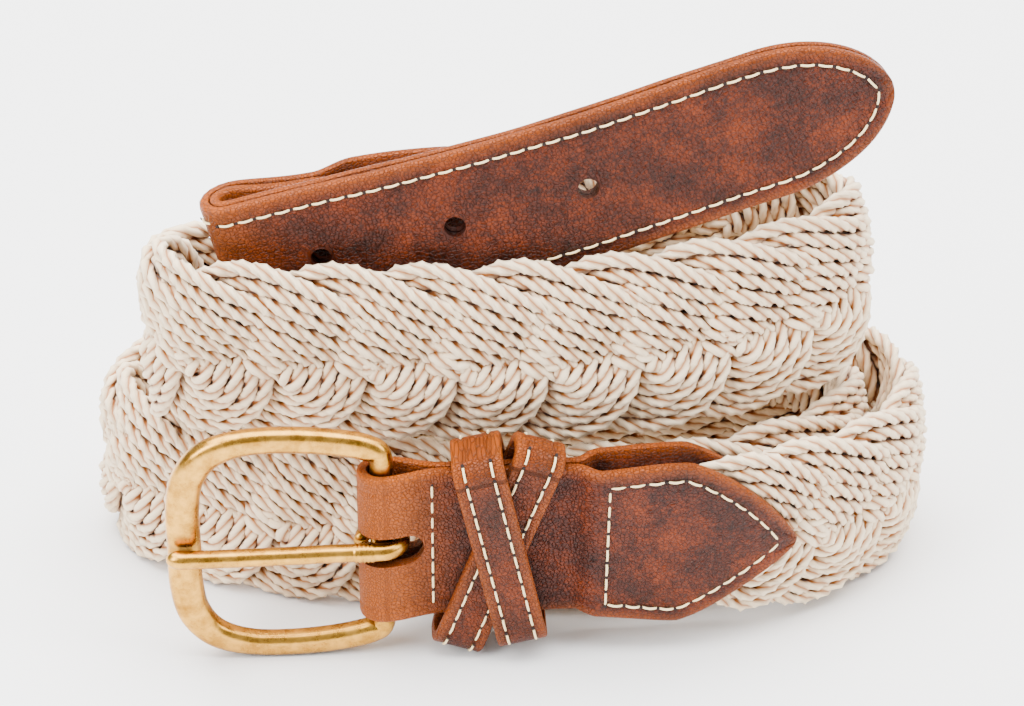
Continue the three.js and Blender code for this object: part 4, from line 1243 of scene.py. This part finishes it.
def makeProng():
    ring = (chape["barDiameter"] + buckle["prongRing"]) / 2 + chape["clearance"]
    thick = buckle["prongDiameter"]
    seat = (buckle["frontBarDeep"] + thick) / 2 + chape["clearance"]
    reach, wide = frontReach, buckle["frontBarWide"]
    rod = np.array([
        (-reach - 0.43 * wide, seat - 0.3 * thick), (-reach - 0.36 * wide, seat - 0.15 * thick),
        (-reach - 0.2 * wide, seat - 0.01 * thick), (-reach + 0.3 * wide, seat + 0.03 * thick),
        (-0.66 * reach, seat), (-0.42 * reach, (seat + ring) / 2), (-0.22 * reach, ring),
        (-0.1 * reach, ring), (0, ring)])
    travelled = travel(rod)
    place = np.concatenate([buckle["noseSteps"], np.arange(0.06, 1, buckle["rodStep"])]) * travelled[-1]
    slopes = np.gradient(rod, travelled, axis=0)
    row = np.clip(np.searchsorted(travelled, place, side="right") - 1, 0, len(rod) - 2)
    length = (travelled[row + 1] - travelled[row])[:, None]
    u = ((place - travelled[row])[:, None]) / length
    line = ((2 * u ** 3 - 3 * u ** 2 + 1) * rod[row] + (u ** 3 - 2 * u ** 2 + u) * length * slopes[row]
            + (3 * u ** 2 - 2 * u ** 3) * rod[row + 1] + (u ** 3 - u ** 2) * length * slopes[row + 1])
    size = np.stack([np.full(len(place), thick)] * 2, -1)
    size = size * np.sqrt(1 - (1 - np.clip((place + 0.05) / buckle["prongNose"], 0, 1)) ** 2)[:, None]
    fromCollar = -line[:, 0] - buckle["collarAt"]
    beads = np.cos(fromCollar * buckle["collarTurns"]) ** 2 * (np.abs(fromCollar) < buckle["collarHalf"])
    size = size + 2 * buckle["collarHeight"] * beads[:, None]
    curl = np.radians(np.arange(buckle["curlStep"], buckle["curlEnd"] + 1, buckle["curlStep"]))
    line = np.concatenate([line, np.stack([ring * np.sin(curl), ring * np.cos(curl)], -1)])
    blend = smooth(0, math.radians(buckle["curlBlend"]), curl)[:, None]
    size = np.concatenate([size, thick + (np.array([buckle["prongRing"], thick]) - thick) * blend])
    tangent = unit(np.gradient(line, axis=0))
    normal = np.stack([-tangent[:, 1], tangent[:, 0]], -1)
    turn = 2 * math.pi * np.arange(buckle["prongSides"]) / buckle["prongSides"]
    x = line[:, :1] + normal[:, :1] * np.cos(turn) * size[:, :1] / 2
    y = line[:, 1:] + normal[:, 1:] * np.cos(turn) * size[:, :1] / 2
    z = np.sin(turn) * size[:, 1:] / 2
    piece = castPiece("prong", fromBar(x, y, np.broadcast_to(z, x.shape)), False)
    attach(piece, "prong")
    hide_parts("prong")


makeBuckle()
makeProng()
print("buckle and prong made")

# Camera at the photograph's angle
view = {
    "target": (0, -27, 67),
    "elevation": 34,
    "distance": 700,
    "focalPixels": 3850,
    "pictureWidth": 1024,
    "sensor": 36,
}
target = (np.array(view["target"]) + np.array(belt["shift"])) * mm
elevation = math.radians(view["elevation"])
back = np.array([0, -math.cos(elevation), math.sin(elevation)])
camera = addObject("camera", bpy.data.cameras.new("camera"))
camera.data.lens = view["focalPixels"] * view["sensor"] / view["pictureWidth"]
camera.data.sensor_width = view["sensor"]
camera.location = target + back * view["distance"] * mm
camera.rotation_euler = (math.radians(90 - view["elevation"]), 0, 0)
bpy.context.scene.camera = camera

# Floor and soft studio light
studio = {
    "floorSize": 4.0,
    "floorColour": "#F7F7F7",
    "world": 0.55,
    "aim": (0, 0, 0.05),
    "softboxes": {  # place, size and power
        "overhead": ((0.0, 0.25, 1.3), (2.2, 1.7), 125.0),
        "left": ((-0.8, -0.6, 0.7), (0.5, 0.7), 16.0),
        "right": ((0.9, -0.3, 0.6), (0.4, 0.7), 7.0),
    },
}
half = studio["floorSize"] / 2
floorMesh = bpy.data.meshes.new("floor")
floorCorners = [(-half, -half, 0), (half, -half, 0), (half, half, 0), (-half, half, 0)]
floorMesh.from_pydata(floorCorners, [], [(0, 1, 2, 3)])
paper = plainMaterial("pale matt paper", studio["floorColour"], 0.9)  # takes soft shadows and no shine
floorMesh.materials.append(paper)
addObject("floor", floorMesh)
world = bpy.data.worlds.new("studio")
world.use_nodes = True
background = world.node_tree.nodes["Background"]
background.inputs["Color"].default_value = (1, 1, 1, 1)
background.inputs["Strength"].default_value = studio["world"]
bpy.context.scene.world = world


def addSoftbox(name, place, size, power):
    data = bpy.data.lights.new(name, "AREA")
    data.shape = "RECTANGLE"
    data.size, data.size_y = size
    data.energy = power
    light = addObject(name, data)
    light.location = place
    light.rotation_euler = (Vector(studio["aim"]) - Vector(place)).to_track_quat("-Z", "Y").to_euler()


for name, softbox in studio["softboxes"].items():
    addSoftbox(name, *softbox)
print("camera, floor and lights set")

bpy.context.view_layer.update()
